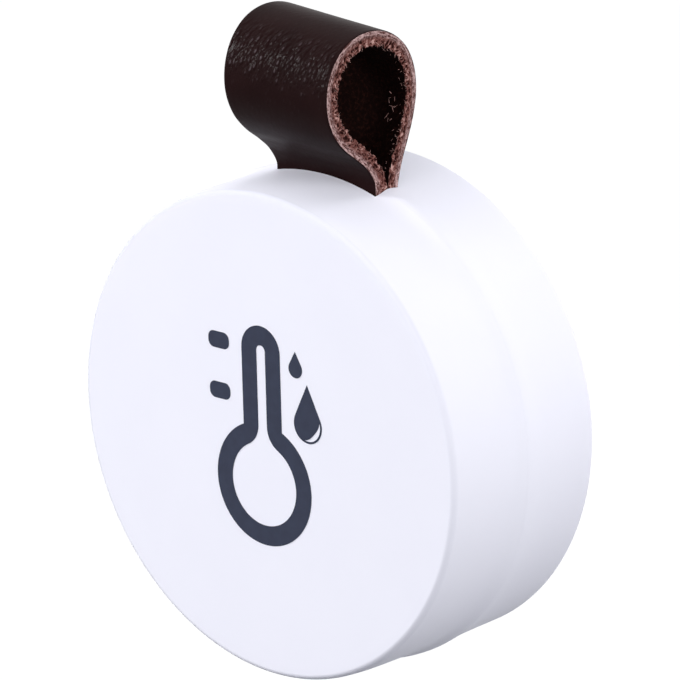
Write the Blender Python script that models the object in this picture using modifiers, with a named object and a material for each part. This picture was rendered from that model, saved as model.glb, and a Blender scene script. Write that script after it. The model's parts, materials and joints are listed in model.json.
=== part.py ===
"""Round wireless thermometer and hygrometer that hangs from a leather loop.

X runs to the right of the face, Y from the face to the back, and Z up as it hangs.
The origin is the centre of the back face. A depth is measured from the face towards the back.
"""

import math

import bmesh
import bpy
import numpy as np
from mathutils import Matrix, Vector

# Clearance left between pieces that meet
CLEAR = 0.0003

# Casing: how far its wall bulges at the seam and at the back, its walls and its edges
SEAM_BULGE = 0.0006
BACK_BULGE = 0.0002
FACE_EDGE = 0.0007
BACK_EDGE = 0.0006
SEAM_EDGE = 0.00015
SIDE_WALL = 0.0018
FACE_WALL = 0.0020
BACK_WALL = 0.0018
PARTING_DEPTH = 0.0113
TONGUE_LENGTH = 0.0015
TONGUE_WALL = 0.0009

# Circuit board and the stack behind it
BOARD_STANDOFF = 0.00735
BOARD_THICKNESS = 0.0016
BOARD_MARGIN = 0.0011
HOLDER_BASE = 0.0006
HOLDER_WALL = 0.0011
HOLDER_HEIGHT = 0.0060
HOLDER_HOLE = 0.0040
CONTACT_THICKNESS = 0.00025
CONTACT_WIDTH = 0.0040
CONTACT_FOOT = 0.0020
CONTACT_HEIGHT = 0.0045
CONTACT_BOW_HEIGHT = 0.0036
NEGATIVE_LENGTH = 0.0180
CELL_RADIUS = 0.01225
CELL_HEIGHT = 0.0077
CELL_CAP_INSET = 0.0014
CELL_CAP_HEIGHT = 0.0009
CELL_EDGE = 0.0004

# Components on the board: width along X, height along Z and thickness
RADIO_CHIP = (0.0060, 0.0060, 0.0009)
RADIO_CRYSTAL = (0.0025, 0.0020, 0.0006)
CLOCK_CRYSTAL = (0.0015, 0.0032, 0.0008)
CHIP_ANTENNA = (0.0020, 0.0070, 0.0012)
CHIP_PASSIVE = (0.0016, 0.0008, 0.0008)
BULK_CAPACITOR = (0.0028, 0.0035, 0.0019)
SENSOR_CHIP = (0.0025, 0.0025, 0.0009)
SENSOR_PORT_RADIUS = 0.0005
COMPONENT_EDGE = 0.0001

# Places of the components on the board: X and Z of their centres, or their room to the board's edge
RADIO_CHIP_PLACE = (0.0020, -0.0060)
RADIO_CRYSTAL_PLACE = (0.0020, -0.0120)
CLOCK_CRYSTAL_PLACE = (0.0070, -0.0110)
ANTENNA_INSET = 0.0041
ANTENNA_Z = 0.0020
BULK_CAPACITOR_INSET = 0.0061
BULK_CAPACITOR_Z = -0.0060
CAPACITOR_X = -0.0030
CAPACITOR_COUNT = 4
RESISTOR_X = 0.0070
RESISTOR_COUNT = 3
PASSIVE_TOP_Z = -0.0032
PASSIVE_PITCH = 0.0018

# Screws that join the casing, and their pillars between the battery holder and the wall
SCREW_ANGLES = (30, 150, 270)
PILLAR_ROOM_INSIDE = 0.00475
PILLAR_ROOM_OUTSIDE = 0.0011
SHANK_RADIUS = 0.0008
HEAD_RADIUS = 0.0018
HEAD_HEIGHT = 0.0014
BOSS_RADIUS = 0.0026
PILLAR_RADIUS = 0.0031
SEAT_THICKNESS = 0.0027
SCREW_GRIP = 0.0050
HEAD_CROWN = 0.8
RECESS_REACH = 0.6
RECESS_WIDTH = 0.00045
RECESS_DEPTH = 0.0006

# Battery door, its lip, ear and hook
DOOR_ROOM = 0.00135
DOOR_LIP = 0.0013
DOOR_FLANGE = 0.0007
EAR_RADIUS = 0.0026
EAR_REACH = 0.0029
EAR_THICKNESS = 0.0021
EAR_WALL = 0.0008
EAR_BOSS_LENGTH = 0.0070
DOOR_HEAD_RADIUS = 0.0016
DOOR_HEAD_HEIGHT = 0.0009
DOOR_SCREW_GRIP = 0.0040
HOOK_WIDTH = 0.0060
HOOK_REACH = 0.0015
HOOK_THICKNESS = 0.0008
HOOK_ROOT = 0.0009

# Leather strap: a strip folded into a loop, its two ends side by side in the slot
STRAP_WIDTH = 0.0146
STRAP_SHIFT = 0.0003
STRAP_THICKNESS = 0.00155
STRAP_EDGE = 0.0002
STRAP_BEHIND_SEAM = 0.00098
STRAP_PLY_GAP = 0.00025
STRAP_TAIL = 0.0062
STRAP_FULLNESS = 0.065
STRAP_STEPS = 3
SLOT_FRONT_ROOM = 0.0008
SLOT_BACK_ROOM = 0.0006
PIN_RADIUS = 0.0008
PIN_SPACING = 0.0084
PIN_BELOW_WALL = 0.0037
PIN_SEAT = 0.0025
PIN_BOSS_RADIUS = 0.0020

# Middle of the strip above the casing: depth from the middle of the two plies, height over the wall
LOOP_LINE = (
    (-0.00113, 0.0000),
    (-0.00238, 0.0025),
    (-0.00478, 0.00475),
    (-0.00718, 0.0071),
    (-0.00814, 0.0103),
    (-0.00718, 0.0138),
    (-0.00438, 0.0159),
    (-0.00078, 0.01605),
    (0.00262, 0.0145),
    (0.00432, 0.0113),
    (0.00392, 0.0080),
    (0.00257, 0.0041),
    (0.00127, 0.0005),
)
LOOP_FOOT_INSET = 0.0005

# Air vent, with the humidity sensor in the chimney behind it
VENT_ROOM_INSIDE = 0.00205
VENT_ANGLE = 210
CHIMNEY_BORE = 0.0024
CHIMNEY_WALL = 0.0009
GASKET_THICKNESS = 0.0015
GASKET_BORE = 0.0022
MEMBRANE_THICKNESS = 0.0003
VENT_HOLE_RADIUS = 0.0005
VENT_RING_RADIUS = 0.0015
VENT_RING_COUNT = 6

# Sign printed on the face: a thermometer, two dashes and two drops
PRINT_THICKNESS = 0.0001
PRINT_GAP = 0.0001
SIGN_X = -0.0003
BULB_Z = -0.0055
BULB_RADIUS = 0.00705
BULB_BORE = 0.00478
STEM_HALF_WIDTH = 0.00286
STEM_TOP_Z = 0.0098
SLOT_HALF_WIDTH = 0.00065
SLOT_TOP_Z = 0.0098
SLOT_FOOT_Z = 0.00124
DASH_LENGTH = 0.0031
DASH_HEIGHT = 0.0019
DASH_CORNER = 0.0008
DASH_X = -0.0063
UPPER_DASH_Z = 0.0099
LOWER_DASH_Z = 0.0041
SMALL_DROP = (0.00515, 0.0087, 0.0010, 0.0020)
LARGE_DROP = (0.0068, 0.0026, 0.00206, 0.0046)
GLINT_INSET = 0.00024
GLINT_WIDTH = 0.00058
GLINT_START = 20
GLINT_END = -106

# Number of facets round a turned piece, a rod and a rounded corner, and degrees of each printed facet
SHELL_STEPS = 72
CELL_STEPS = 48
SMALL_STEPS = 24
ROD_SEGMENTS = 20
HOLE_SEGMENTS = 12
CORNER_STEPS = 3
PRINT_STEP = 8

# Places that follow from the sizes above
board_front = FACE_WALL + BOARD_STANDOFF + CLEAR
board_back = board_front + BOARD_THICKNESS
holder_front = board_back + CLEAR
contact_front = holder_front + HOLDER_BASE + CLEAR
cell_front = contact_front + CONTACT_THICKNESS + CLEAR
cell_back = cell_front + CELL_HEIGHT
back_wall_front = cell_back + CLEAR
body_depth = back_wall_front + BACK_WALL
holder_bore = CELL_RADIUS + CLEAR
holder_radius = holder_bore + HOLDER_WALL
screw_circle = holder_radius + PILLAR_ROOM_INSIDE + PILLAR_RADIUS
inner_radius = screw_circle + PILLAR_RADIUS + PILLAR_ROOM_OUTSIDE
face_radius = inner_radius + SIDE_WALL
crest_radius = face_radius + SEAM_BULGE
back_radius = face_radius + BACK_BULGE
tongue_radius = inner_radius + TONGUE_WALL
board_radius = inner_radius - BOARD_MARGIN
pillar_front = board_back + CLEAR
seat_depth = pillar_front + SEAT_THICKNESS
flange_front = body_depth - DOOR_FLANGE
ear_front = body_depth - EAR_THICKNESS
door_plug_radius = CELL_RADIUS + DOOR_ROOM
door_radius = door_plug_radius + DOOR_LIP
ear_height = door_radius + EAR_REACH
ply_offset = (STRAP_THICKNESS + STRAP_PLY_GAP) / 2
strap_depth = PARTING_DEPTH + STRAP_BEHIND_SEAM
strap_front = strap_depth - ply_offset - STRAP_THICKNESS / 2
strap_back = strap_depth + ply_offset + STRAP_THICKNESS / 2
loop_foot = crest_radius - LOOP_FOOT_INSET
strap_end = loop_foot - STRAP_TAIL
pin_z = loop_foot - PIN_BELOW_WALL
chimney_radius = CHIMNEY_BORE + CHIMNEY_WALL
vent_radius = holder_radius + VENT_ROOM_INSIDE + chimney_radius
vent_x = vent_radius * math.cos(math.radians(VENT_ANGLE))
vent_z = vent_radius * math.sin(math.radians(VENT_ANGLE))


def at(depth):
    """Y of a depth behind the face."""
    return depth - body_depth


def on_circle(radius, degrees):
    """X and Z of a point on a circle round the body's axis."""
    angle = math.radians(degrees)
    return radius * math.cos(angle), radius * math.sin(angle)


def arc(x, z, radius, start, end, steps):
    """Points of an arc, from one angle in degrees to another."""
    angles = [math.radians(start + (end - start) * i / steps) for i in range(steps + 1)]
    return [(x + radius * math.cos(a), z + radius * math.sin(a)) for a in angles]


def print_arc(x, z, radius, start, end):
    """Points of an arc in the outline of a printed field."""
    return arc(x, z, radius, start, end, math.ceil(abs(end - start) / PRINT_STEP))


# Scene

for old in list(bpy.data.objects):
    bpy.data.objects.remove(old, do_unlink=True)


def collection(name):
    made = bpy.data.collections.new(name)
    bpy.context.scene.collection.children.link(made)
    return made


parts = collection("thermometer_hygrometer")
cutters = collection("cutters")

body_axis = bpy.data.objects.new("body_axis", None)
parts.objects.link(body_axis)


def material(name, colour, roughness, metallic=0.0):
    made = bpy.data.materials.new(name)
    made.use_nodes = True
    shader = made.node_tree.nodes["Principled BSDF"]
    shader.inputs["Base Color"].default_value = (*colour, 1.0)
    shader.inputs["Roughness"].default_value = roughness
    shader.inputs["Metallic"].default_value = metallic
    made.diffuse_color = (*colour, 1.0)
    return made


WHITE_PLASTIC = material("white_plastic", (0.86, 0.86, 0.89), 0.42)
SLATE_INK = material("slate_ink", (0.048, 0.055, 0.085), 0.50)
BROWN_LEATHER = material("brown_leather", (0.035, 0.018, 0.015), 0.55)
SCREW_STEEL = material("screw_steel", (0.56, 0.57, 0.58), 0.35, 1.0)
PIN_STEEL = material("pin_steel", (0.62, 0.62, 0.63), 0.28, 1.0)
BOARD_LAMINATE = material("board_laminate", (0.02, 0.17, 0.07), 0.40)
CHIP_BLACK = material("chip_black", (0.02, 0.02, 0.022), 0.50)
CRYSTAL_CAN = material("crystal_can", (0.66, 0.65, 0.62), 0.30, 1.0)
ANTENNA_CERAMIC = material("antenna_ceramic", (0.82, 0.83, 0.80), 0.45)
CAPACITOR_CERAMIC = material("capacitor_ceramic", (0.42, 0.30, 0.18), 0.45)
HOLDER_PLASTIC = material("holder_plastic", (0.03, 0.03, 0.033), 0.55)
CONTACT_NICKEL = material("contact_nickel", (0.70, 0.68, 0.62), 0.25, 1.0)
CELL_STEEL = material("cell_steel", (0.72, 0.72, 0.73), 0.22, 1.0)
GASKET_FOAM = material("gasket_foam", (0.05, 0.05, 0.055), 0.95)
FILTER_WHITE = material("filter_white", (0.88, 0.88, 0.86), 0.80)


def place(name, data, finish, where=parts, location=(0, 0, 0)):
    """A named piece with its own material, carried by the body's axis."""
    piece = bpy.data.objects.new(name, data)
    piece.location = location
    piece.parent = body_axis if where is parts else None
    where.objects.link(piece)
    if finish is not None:
        data.materials.append(finish)
    return piece


def turned(name, profile, finish, steps=SHELL_STEPS, ring=False, x=0.0, z=0.0):
    """A profile of (radius, depth) points, front to back over its outer side, turned about Y."""
    mesh = bpy.data.meshes.new(name)
    count = len(profile)
    edges = [(i, i + 1) for i in range(count - 1)]
    if ring:
        edges.append((count - 1, 0))
    mesh.from_pydata([(r, at(depth), 0) for r, depth in profile], edges, [])
    piece = place(name, mesh, finish, location=(x, 0, z))
    screw = piece.modifiers.new("turn", "SCREW")
    screw.axis = "Y"
    screw.steps = steps
    screw.render_steps = steps
    screw.use_merge_vertices = True
    screw.merge_threshold = 0.00001
    screw.use_smooth_shade = True
    screw.use_normal_flip = True
    return piece


def rod(mesh, x, z, radius, start, end, segments=ROD_SEGMENTS):
    """A cylinder along Y between two depths."""
    middle = Matrix.Translation((x, at((start + end) / 2), z))
    turn = Matrix.Rotation(math.radians(-90), 4, "X")
    bmesh.ops.create_cone(
        mesh, cap_ends=True, segments=segments, radius1=radius, radius2=radius,
        depth=end - start, matrix=middle @ turn)


def slab(mesh, x_range, depth_range, z_range):
    """A box between two X values, two depths and two Z values."""
    low = Vector((x_range[0], at(depth_range[0]), z_range[0]))
    high = Vector((x_range[1], at(depth_range[1]), z_range[1]))
    size = Matrix.Diagonal((*(high - low), 1))
    bmesh.ops.create_cube(mesh, size=1, matrix=Matrix.Translation((low + high) / 2) @ size)


def shapes(name, rods=(), slabs=()):
    """One mesh of rods and slabs that stand clear of each other."""
    work = bmesh.new()
    for values in rods:
        rod(work, *values)
    for values in slabs:
        slab(work, *values)
    mesh = bpy.data.meshes.new(name)
    work.to_mesh(mesh)
    work.free()
    return mesh


def combine(piece, operation, name, rods=(), slabs=()):
    """Joins or cuts rods and slabs into a piece."""
    tool = place(name, shapes(name, rods, slabs), None, where=cutters)
    tool.hide_render = True
    tool.display_type = "WIRE"
    change = piece.modifiers.new(name, "BOOLEAN")
    change.operation = operation
    change.solver = "EXACT"
    change.object = tool
    return piece


def join(piece, name, rods=(), slabs=()):
    return combine(piece, "UNION", name, rods, slabs)


def cut(piece, name, rods=(), slabs=()):
    return combine(piece, "DIFFERENCE", name, rods, slabs)


def bevel(piece, width, segments=1, angle=30):
    edge = piece.modifiers.new("edge", "BEVEL")
    edge.width = width
    edge.segments = segments
    edge.limit_method = "ANGLE"
    edge.angle_limit = math.radians(angle)
    return piece


# Casing

pin_places = [(side * PIN_SPACING / 2, pin_z) for side in (-1, 1)]
screw_places = [on_circle(screw_circle, angle) for angle in SCREW_ANGLES]
slot_half_width = STRAP_WIDTH / 2 + STRAP_SHIFT + CLEAR
strap_slot = (
    (-slot_half_width, slot_half_width),
    (strap_front - SLOT_FRONT_ROOM, strap_back + SLOT_BACK_ROOM),
    (strap_end, crest_radius + SIDE_WALL),
)


def front_shell():
    """Cup with the face, screw bosses, pin bosses and a tongue round its rim."""
    rim = PARTING_DEPTH - CLEAR / 2
    tongue_end = PARTING_DEPTH + TONGUE_LENGTH
    face_corner = arc(face_radius - FACE_EDGE, FACE_EDGE, FACE_EDGE, -90, 0, CORNER_STEPS)
    profile = [
        (0, 0),
        *face_corner,
        (crest_radius, rim - SEAM_EDGE),
        (crest_radius - SEAM_EDGE, rim),
        (tongue_radius, rim),
        (tongue_radius, tongue_end),
        (inner_radius, tongue_end),
        (inner_radius, FACE_WALL + FACE_EDGE),
        (inner_radius - FACE_EDGE, FACE_WALL),
        (0, FACE_WALL),
    ]
    shell = turned("front_shell", profile, WHITE_PLASTIC)
    cut(shell, "front_strap_slot", slabs=[strap_slot])
    root = FACE_WALL / 2
    boss_end = FACE_WALL + BOARD_STANDOFF
    pin_boss_end = strap_front - CLEAR
    join(shell, "front_bosses", rods=[
        *[(x, z, BOSS_RADIUS, root, boss_end) for x, z in screw_places],
        *[(x, z, PIN_BOSS_RADIUS, root, pin_boss_end) for x, z in pin_places],
    ])
    bore = SHANK_RADIUS + CLEAR
    pin_bore = PIN_RADIUS + CLEAR
    return cut(shell, "front_bores", rods=[
        *[(x, z, bore, boss_end - SCREW_GRIP - CLEAR, boss_end + CLEAR) for x, z in screw_places],
        *[(x, z, pin_bore, pin_boss_end - PIN_SEAT - CLEAR, pin_boss_end + CLEAR) for x, z in pin_places],
    ])


def rear_shell():
    """Deep ring with the back wall, the battery opening, screw pillars, pin bosses and the vent."""
    rim = PARTING_DEPTH + CLEAR / 2
    rebate_radius = tongue_radius + CLEAR
    rebate_end = PARTING_DEPTH + TONGUE_LENGTH + CLEAR
    opening = door_plug_radius + CLEAR
    lip = door_radius + CLEAR
    ledge = flange_front - CLEAR
    back_corner = arc(back_radius - BACK_EDGE, body_depth - BACK_EDGE, BACK_EDGE, 0, 90, CORNER_STEPS)
    profile = [
        (rebate_radius, rim),
        (crest_radius - SEAM_EDGE, rim),
        (crest_radius, rim + SEAM_EDGE),
        *back_corner,
        (lip, body_depth),
        (lip, ledge),
        (opening, ledge),
        (opening, back_wall_front),
        (inner_radius - BACK_EDGE, back_wall_front),
        (inner_radius, back_wall_front - BACK_EDGE),
        (inner_radius, rebate_end),
        (rebate_radius, rebate_end),
    ]
    shell = turned("rear_shell", profile, WHITE_PLASTIC, ring=True)
    cut(shell, "rear_strap_slot", slabs=[strap_slot])
    root = body_depth - BACK_WALL / 2
    pin_boss_front = strap_back + CLEAR
    ear_boss_radius = EAR_RADIUS + CLEAR + EAR_WALL
    chimney_front = board_back + CLEAR + GASKET_THICKNESS + CLEAR
    join(shell, "rear_bosses", rods=[
        *[(x, z, PILLAR_RADIUS, pillar_front, root) for x, z in screw_places],
        *[(x, z, PIN_BOSS_RADIUS, pin_boss_front, root) for x, z in pin_places],
        (vent_x, vent_z, chimney_radius, chimney_front, root),
        (0, ear_height, ear_boss_radius, root - EAR_BOSS_LENGTH, body_depth - BACK_WALL / 4),
    ])
    beyond = body_depth + BACK_WALL
    pin_bore = PIN_RADIUS + CLEAR
    pin_bore_end = pin_boss_front + PIN_SEAT + CLEAR
    cut(shell, "rear_counterbores", rods=[
        *[(x, z, HEAD_RADIUS + CLEAR, seat_depth, beyond) for x, z in screw_places],
        *[(x, z, pin_bore, pin_boss_front - CLEAR, pin_bore_end) for x, z in pin_places],
        (vent_x, vent_z, CHIMNEY_BORE, chimney_front - CLEAR, back_wall_front),
        (0, ear_height, EAR_RADIUS + CLEAR, ear_front - CLEAR, beyond),
    ])
    vent_angles = [360 * i / VENT_RING_COUNT for i in range(VENT_RING_COUNT)]
    vent_offsets = [(0, 0), *[on_circle(VENT_RING_RADIUS, angle) for angle in vent_angles]]
    vent_range = (back_wall_front - CLEAR, beyond)
    bore = SHANK_RADIUS + CLEAR
    cut(shell, "rear_bores", rods=[
        *[(x, z, bore, pillar_front - CLEAR, seat_depth + CLEAR) for x, z in screw_places],
        *[(vent_x + x, vent_z + z, VENT_HOLE_RADIUS, *vent_range, HOLE_SEGMENTS) for x, z in vent_offsets],
        (0, ear_height, bore, ear_front - DOOR_SCREW_GRIP - CLEAR, ear_front),
    ])
    neck = EAR_RADIUS + CLEAR
    return cut(shell, "rear_ear_neck", slabs=[
        ((-neck, neck), (ledge, beyond), (door_plug_radius, ear_height)),
    ])


def battery_door():
    """Round lid whose ear takes a screw at the top and whose hook goes under the wall below."""
    profile = [
        (0, back_wall_front),
        (door_plug_radius, back_wall_front),
        (door_plug_radius, flange_front),
        (door_radius, flange_front),
        (door_radius, body_depth - SEAM_EDGE),
        (door_radius - SEAM_EDGE, body_depth),
        (0, body_depth),
    ]
    door = turned("battery_door", profile, WHITE_PLASTIC)
    hook_back = back_wall_front - CLEAR
    hook_front = hook_back - HOOK_THICKNESS
    hook_inner = -(CELL_RADIUS + CLEAR)
    hook_range = (-HOOK_WIDTH / 2, HOOK_WIDTH / 2)
    join(door, "door_ear", rods=[(0, ear_height, EAR_RADIUS, ear_front, body_depth)])
    join(door, "door_neck", slabs=[
        ((-EAR_RADIUS, EAR_RADIUS), (flange_front, body_depth), (door_plug_radius / 2, ear_height)),
    ])
    join(door, "door_hook_root", slabs=[
        (hook_range, (hook_front, flange_front), (hook_inner - HOOK_ROOT, hook_inner)),
    ])
    join(door, "door_hook", slabs=[
        (hook_range, (hook_front, hook_back), (-door_plug_radius - HOOK_REACH, hook_inner - HOOK_ROOT / 2)),
    ])
    beyond = body_depth + BACK_WALL
    seat = body_depth - DOOR_HEAD_HEIGHT - CLEAR
    cut(door, "door_counterbore", rods=[(0, ear_height, DOOR_HEAD_RADIUS + CLEAR, seat, beyond)])
    bore = SHANK_RADIUS + CLEAR
    return cut(door, "door_bore", rods=[(0, ear_height, bore, ear_front - CLEAR, seat + CLEAR)])


# Fasteners

def screw(name, x, z, seat, head_radius, head_height, length):
    """Pan head screw whose head lies behind the seat and whose point is towards the face."""
    point = SHANK_RADIUS
    tip = seat - length
    under_head = seat + CLEAR
    profile = [
        (0, tip),
        (SHANK_RADIUS / 2, tip + point / 2),
        (SHANK_RADIUS, tip + point),
        (SHANK_RADIUS, under_head),
        (head_radius, under_head),
        (head_radius, under_head + head_height / 2),
        (head_radius * HEAD_CROWN, under_head + head_height),
        (0, under_head + head_height),
    ]
    made = turned(name, profile, SCREW_STEEL, steps=SMALL_STEPS, x=x, z=z)
    top = under_head + head_height
    reach = head_radius * RECESS_REACH
    half = RECESS_WIDTH / 2
    recess = (top - RECESS_DEPTH, top + RECESS_DEPTH)
    cut(made, name + "_recess_across", slabs=[((x - reach, x + reach), recess, (z - half, z + half))])
    return cut(made, name + "_recess_along", slabs=[((x - half, x + half), recess, (z - reach, z + reach))])


def strap_pin(name, x, z):
    """Steel pin through both plies of the strap, its ends seated in the two shells."""
    start = strap_front - CLEAR - PIN_SEAT
    end = strap_back + CLEAR + PIN_SEAT
    chamfer = PIN_RADIUS / 4
    profile = [
        (0, start),
        (PIN_RADIUS - chamfer, start),
        (PIN_RADIUS, start + chamfer),
        (PIN_RADIUS, end - chamfer),
        (PIN_RADIUS - chamfer, end),
        (0, end),
    ]
    return turned(name, profile, PIN_STEEL, steps=SMALL_STEPS, x=x, z=z)


# Strap

def smooth_line(knots, steps):
    """Points on a smooth curve through the knots, with equal steps between each two of them."""
    knots = np.array(knots, float)
    along = np.concatenate([[0], np.cumsum(np.linalg.norm(np.diff(knots, axis=0), axis=1))])
    slopes = np.gradient(knots, along, axis=0)
    points = []
    for i in range(len(knots) - 1):
        span = along[i + 1] - along[i]
        for k in range(steps):
            t = k / steps
            start = (2 * t**3 - 3 * t**2 + 1) * knots[i] + (t**3 - 2 * t**2 + t) * span * slopes[i]
            end = (3 * t**2 - 2 * t**3) * knots[i + 1] + (t**3 - t**2) * span * slopes[i + 1]
            points.append(start + end)
    return [*points, knots[-1]]


def leather_strap():
    """Strip folded into a loop that is a little fuller at its left end."""
    tail = [strap_end, (strap_end + loop_foot) / 2, loop_foot - ply_offset]
    front_tail = [(-ply_offset, height - loop_foot) for height in tail]
    back_tail = [(ply_offset, height - loop_foot) for height in reversed(tail)]
    line = smooth_line([*front_tail, *LOOP_LINE, *back_tail], STRAP_STEPS)
    right = STRAP_SHIFT + STRAP_WIDTH / 2
    work = bmesh.new()
    chain = [work.verts.new((right, at(strap_depth + depth), loop_foot + height)) for depth, height in line]
    edges = [work.edges.new(pair) for pair in zip(chain, chain[1:])]
    made = bmesh.ops.extrude_edge_only(work, edges=edges)["geom"]
    foot = Vector((0, at(strap_depth), loop_foot))
    for vertex in [v for v in made if isinstance(v, bmesh.types.BMVert)]:
        rise = min(max((vertex.co.z - loop_foot) / STRAP_THICKNESS, 0), 1)
        vertex.co = foot + (vertex.co - foot) * (1 + STRAP_FULLNESS * rise)
        vertex.co.x = right - STRAP_WIDTH
    mesh = bpy.data.meshes.new("leather_strap")
    work.to_mesh(mesh)
    work.free()
    strap = place("leather_strap", mesh, BROWN_LEATHER)
    skin = strap.modifiers.new("thickness", "SOLIDIFY")
    skin.thickness = STRAP_THICKNESS
    skin.offset = 0
    skin.use_even_offset = True
    bevel(strap, STRAP_EDGE, angle=60)
    bore = PIN_RADIUS + CLEAR
    through = (strap_front - CLEAR, strap_back + CLEAR)
    return cut(strap, "strap_holes", rods=[(x, z, bore, *through) for x, z in pin_places])


# Electronics

def block(name, finish, centre, size, front):
    """A small packaged component with its front side at a depth."""
    x, z = centre
    width, height, thickness = size
    mesh = shapes(name, slabs=[
        ((x - width / 2, x + width / 2), (front, front + thickness), (z - height / 2, z + height / 2)),
    ])
    return bevel(place(name, mesh, finish), COMPONENT_EDGE)


def circuit_board():
    """Round board with a flat side under the strap and a hole for each casing screw."""
    profile = [(0, board_front), (board_radius, board_front), (board_radius, board_back), (0, board_back)]
    board = turned("circuit_board", profile, BOARD_LAMINATE)
    through = (board_front - CLEAR, board_back + CLEAR)
    cut(board, "board_holes", rods=[(x, z, SHANK_RADIUS + 2 * CLEAR, *through) for x, z in screw_places])
    flat = strap_end - BOARD_MARGIN
    return cut(board, "board_flat", slabs=[((-board_radius, board_radius), through, (flat, inner_radius))])


def on_front(name, finish, centre, size):
    """A component soldered to the side of the board towards the face."""
    return block(name, finish, centre, size, board_front - CLEAR - size[2])


def on_back(name, finish, centre, size):
    """A component soldered to the side of the board towards the battery."""
    return block(name, finish, centre, size, board_back + CLEAR)


def chip_row(name, finish, x, count):
    """A column of small chip components on the side of the board towards the face."""
    for i in range(count):
        on_front(f"{name}_{i + 1}", finish, (x, PASSIVE_TOP_Z - i * PASSIVE_PITCH), CHIP_PASSIVE)


def electronics():
    on_front("radio_chip", CHIP_BLACK, RADIO_CHIP_PLACE, RADIO_CHIP)
    on_front("radio_crystal", CRYSTAL_CAN, RADIO_CRYSTAL_PLACE, RADIO_CRYSTAL)
    on_front("clock_crystal", CRYSTAL_CAN, CLOCK_CRYSTAL_PLACE, CLOCK_CRYSTAL)
    on_front("chip_antenna", ANTENNA_CERAMIC, (ANTENNA_INSET - board_radius, ANTENNA_Z), CHIP_ANTENNA)
    chip_row("decoupling_capacitor", CAPACITOR_CERAMIC, CAPACITOR_X, CAPACITOR_COUNT)
    chip_row("pull_up_resistor", CHIP_BLACK, RESISTOR_X, RESISTOR_COUNT)
    bulk_place = (board_radius - BULK_CAPACITOR_INSET, BULK_CAPACITOR_Z)
    on_back("bulk_capacitor", CAPACITOR_CERAMIC, bulk_place, BULK_CAPACITOR)
    sensor = on_back("humidity_sensor", CHIP_BLACK, (vent_x, vent_z), SENSOR_CHIP)
    sensor_back = board_back + CLEAR + SENSOR_CHIP[2]
    port = (sensor_back - SENSOR_CHIP[2] / 3, sensor_back + CLEAR)
    cut(sensor, "sensor_port", rods=[(vent_x, vent_z, SENSOR_PORT_RADIUS, *port, HOLE_SEGMENTS)])


def sensor_gasket():
    """Foam ring that joins the vent's chimney to the board round the sensor."""
    front = board_back + CLEAR
    back = front + GASKET_THICKNESS
    outer = chimney_radius
    profile = [(GASKET_BORE, front), (outer, front), (outer, back), (GASKET_BORE, back)]
    return turned("sensor_gasket", profile, GASKET_FOAM, steps=SMALL_STEPS, ring=True, x=vent_x, z=vent_z)


def vent_membrane():
    """Thin filter disc in the chimney against the vent holes."""
    back = back_wall_front - CLEAR
    front = back - MEMBRANE_THICKNESS
    radius = CHIMNEY_BORE - CLEAR
    profile = [(0, front), (radius, front), (radius, back), (0, back)]
    return turned("vent_membrane", profile, FILTER_WHITE, steps=SMALL_STEPS, x=vent_x, z=vent_z)


# Battery

def battery_holder():
    """Round tray for the cell, open at the middle, with a notch for the side contact."""
    back = holder_front + HOLDER_HEIGHT
    floor = holder_front + HOLDER_BASE
    profile = [
        (HOLDER_HOLE, holder_front),
        (holder_radius, holder_front),
        (holder_radius, back),
        (holder_bore, back),
        (holder_bore, floor),
        (HOLDER_HOLE, floor),
    ]
    holder = turned("battery_holder", profile, HOLDER_PLASTIC, steps=CELL_STEPS, ring=True)
    half = CONTACT_WIDTH / 2 + CLEAR
    return cut(holder, "holder_notch", slabs=[
        ((CELL_RADIUS - CONTACT_THICKNESS, holder_radius + CLEAR),
         (holder_front - CLEAR, back + CLEAR), (-half, half)),
    ])


def bent_strip(name, line, width):
    """Sheet metal strip: its middle line of (x, depth) points, swept along Z."""
    work = bmesh.new()
    chain = [work.verts.new((x, at(depth), -width / 2)) for x, depth in line]
    edges = [work.edges.new(pair) for pair in zip(chain, chain[1:])]
    made = bmesh.ops.extrude_edge_only(work, edges=edges)["geom"]
    swept = [v for v in made if isinstance(v, bmesh.types.BMVert)]
    bmesh.ops.translate(work, verts=swept, vec=(0, 0, width))
    mesh = bpy.data.meshes.new(name)
    work.to_mesh(mesh)
    work.free()
    strip = place(name, mesh, CONTACT_NICKEL)
    skin = strip.modifiers.new("thickness", "SOLIDIFY")
    skin.thickness = CONTACT_THICKNESS
    skin.offset = 0
    skin.use_even_offset = True
    return strip


def contacts():
    half = CONTACT_THICKNESS / 2
    side = holder_bore + half + CLEAR
    foot = board_back + CLEAR + half
    bent_strip("positive_contact", [
        (holder_radius + CONTACT_FOOT, foot),
        (side + HOLDER_WALL / 2, foot),
        (side + HOLDER_WALL / 2, foot + CONTACT_HEIGHT / 2),
        (side - CLEAR / 2, foot + CONTACT_BOW_HEIGHT),
        (side + HOLDER_WALL / 4, foot + CONTACT_HEIGHT),
    ], CONTACT_WIDTH)
    bent_strip("negative_contact", [
        (-NEGATIVE_LENGTH / 2, contact_front + half),
        (NEGATIVE_LENGTH / 2, contact_front + half),
    ], CONTACT_WIDTH)


def coin_cell():
    """Sealed coin cell, its smaller negative cap towards the board."""
    cap_radius = CELL_RADIUS - CELL_CAP_INSET
    can_front = cell_front + CELL_CAP_HEIGHT
    edge = CELL_EDGE
    profile = [
        (0, cell_front),
        (cap_radius - edge, cell_front),
        (cap_radius, cell_front + edge),
        (cap_radius, can_front),
        (CELL_RADIUS - edge, can_front),
        (CELL_RADIUS, can_front + edge),
        (CELL_RADIUS, cell_back - edge),
        (CELL_RADIUS - edge, cell_back),
        (0, cell_back),
    ]
    return turned("coin_cell", profile, CELL_STEEL, steps=CELL_STEPS)


# Sign printed on the face

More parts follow.
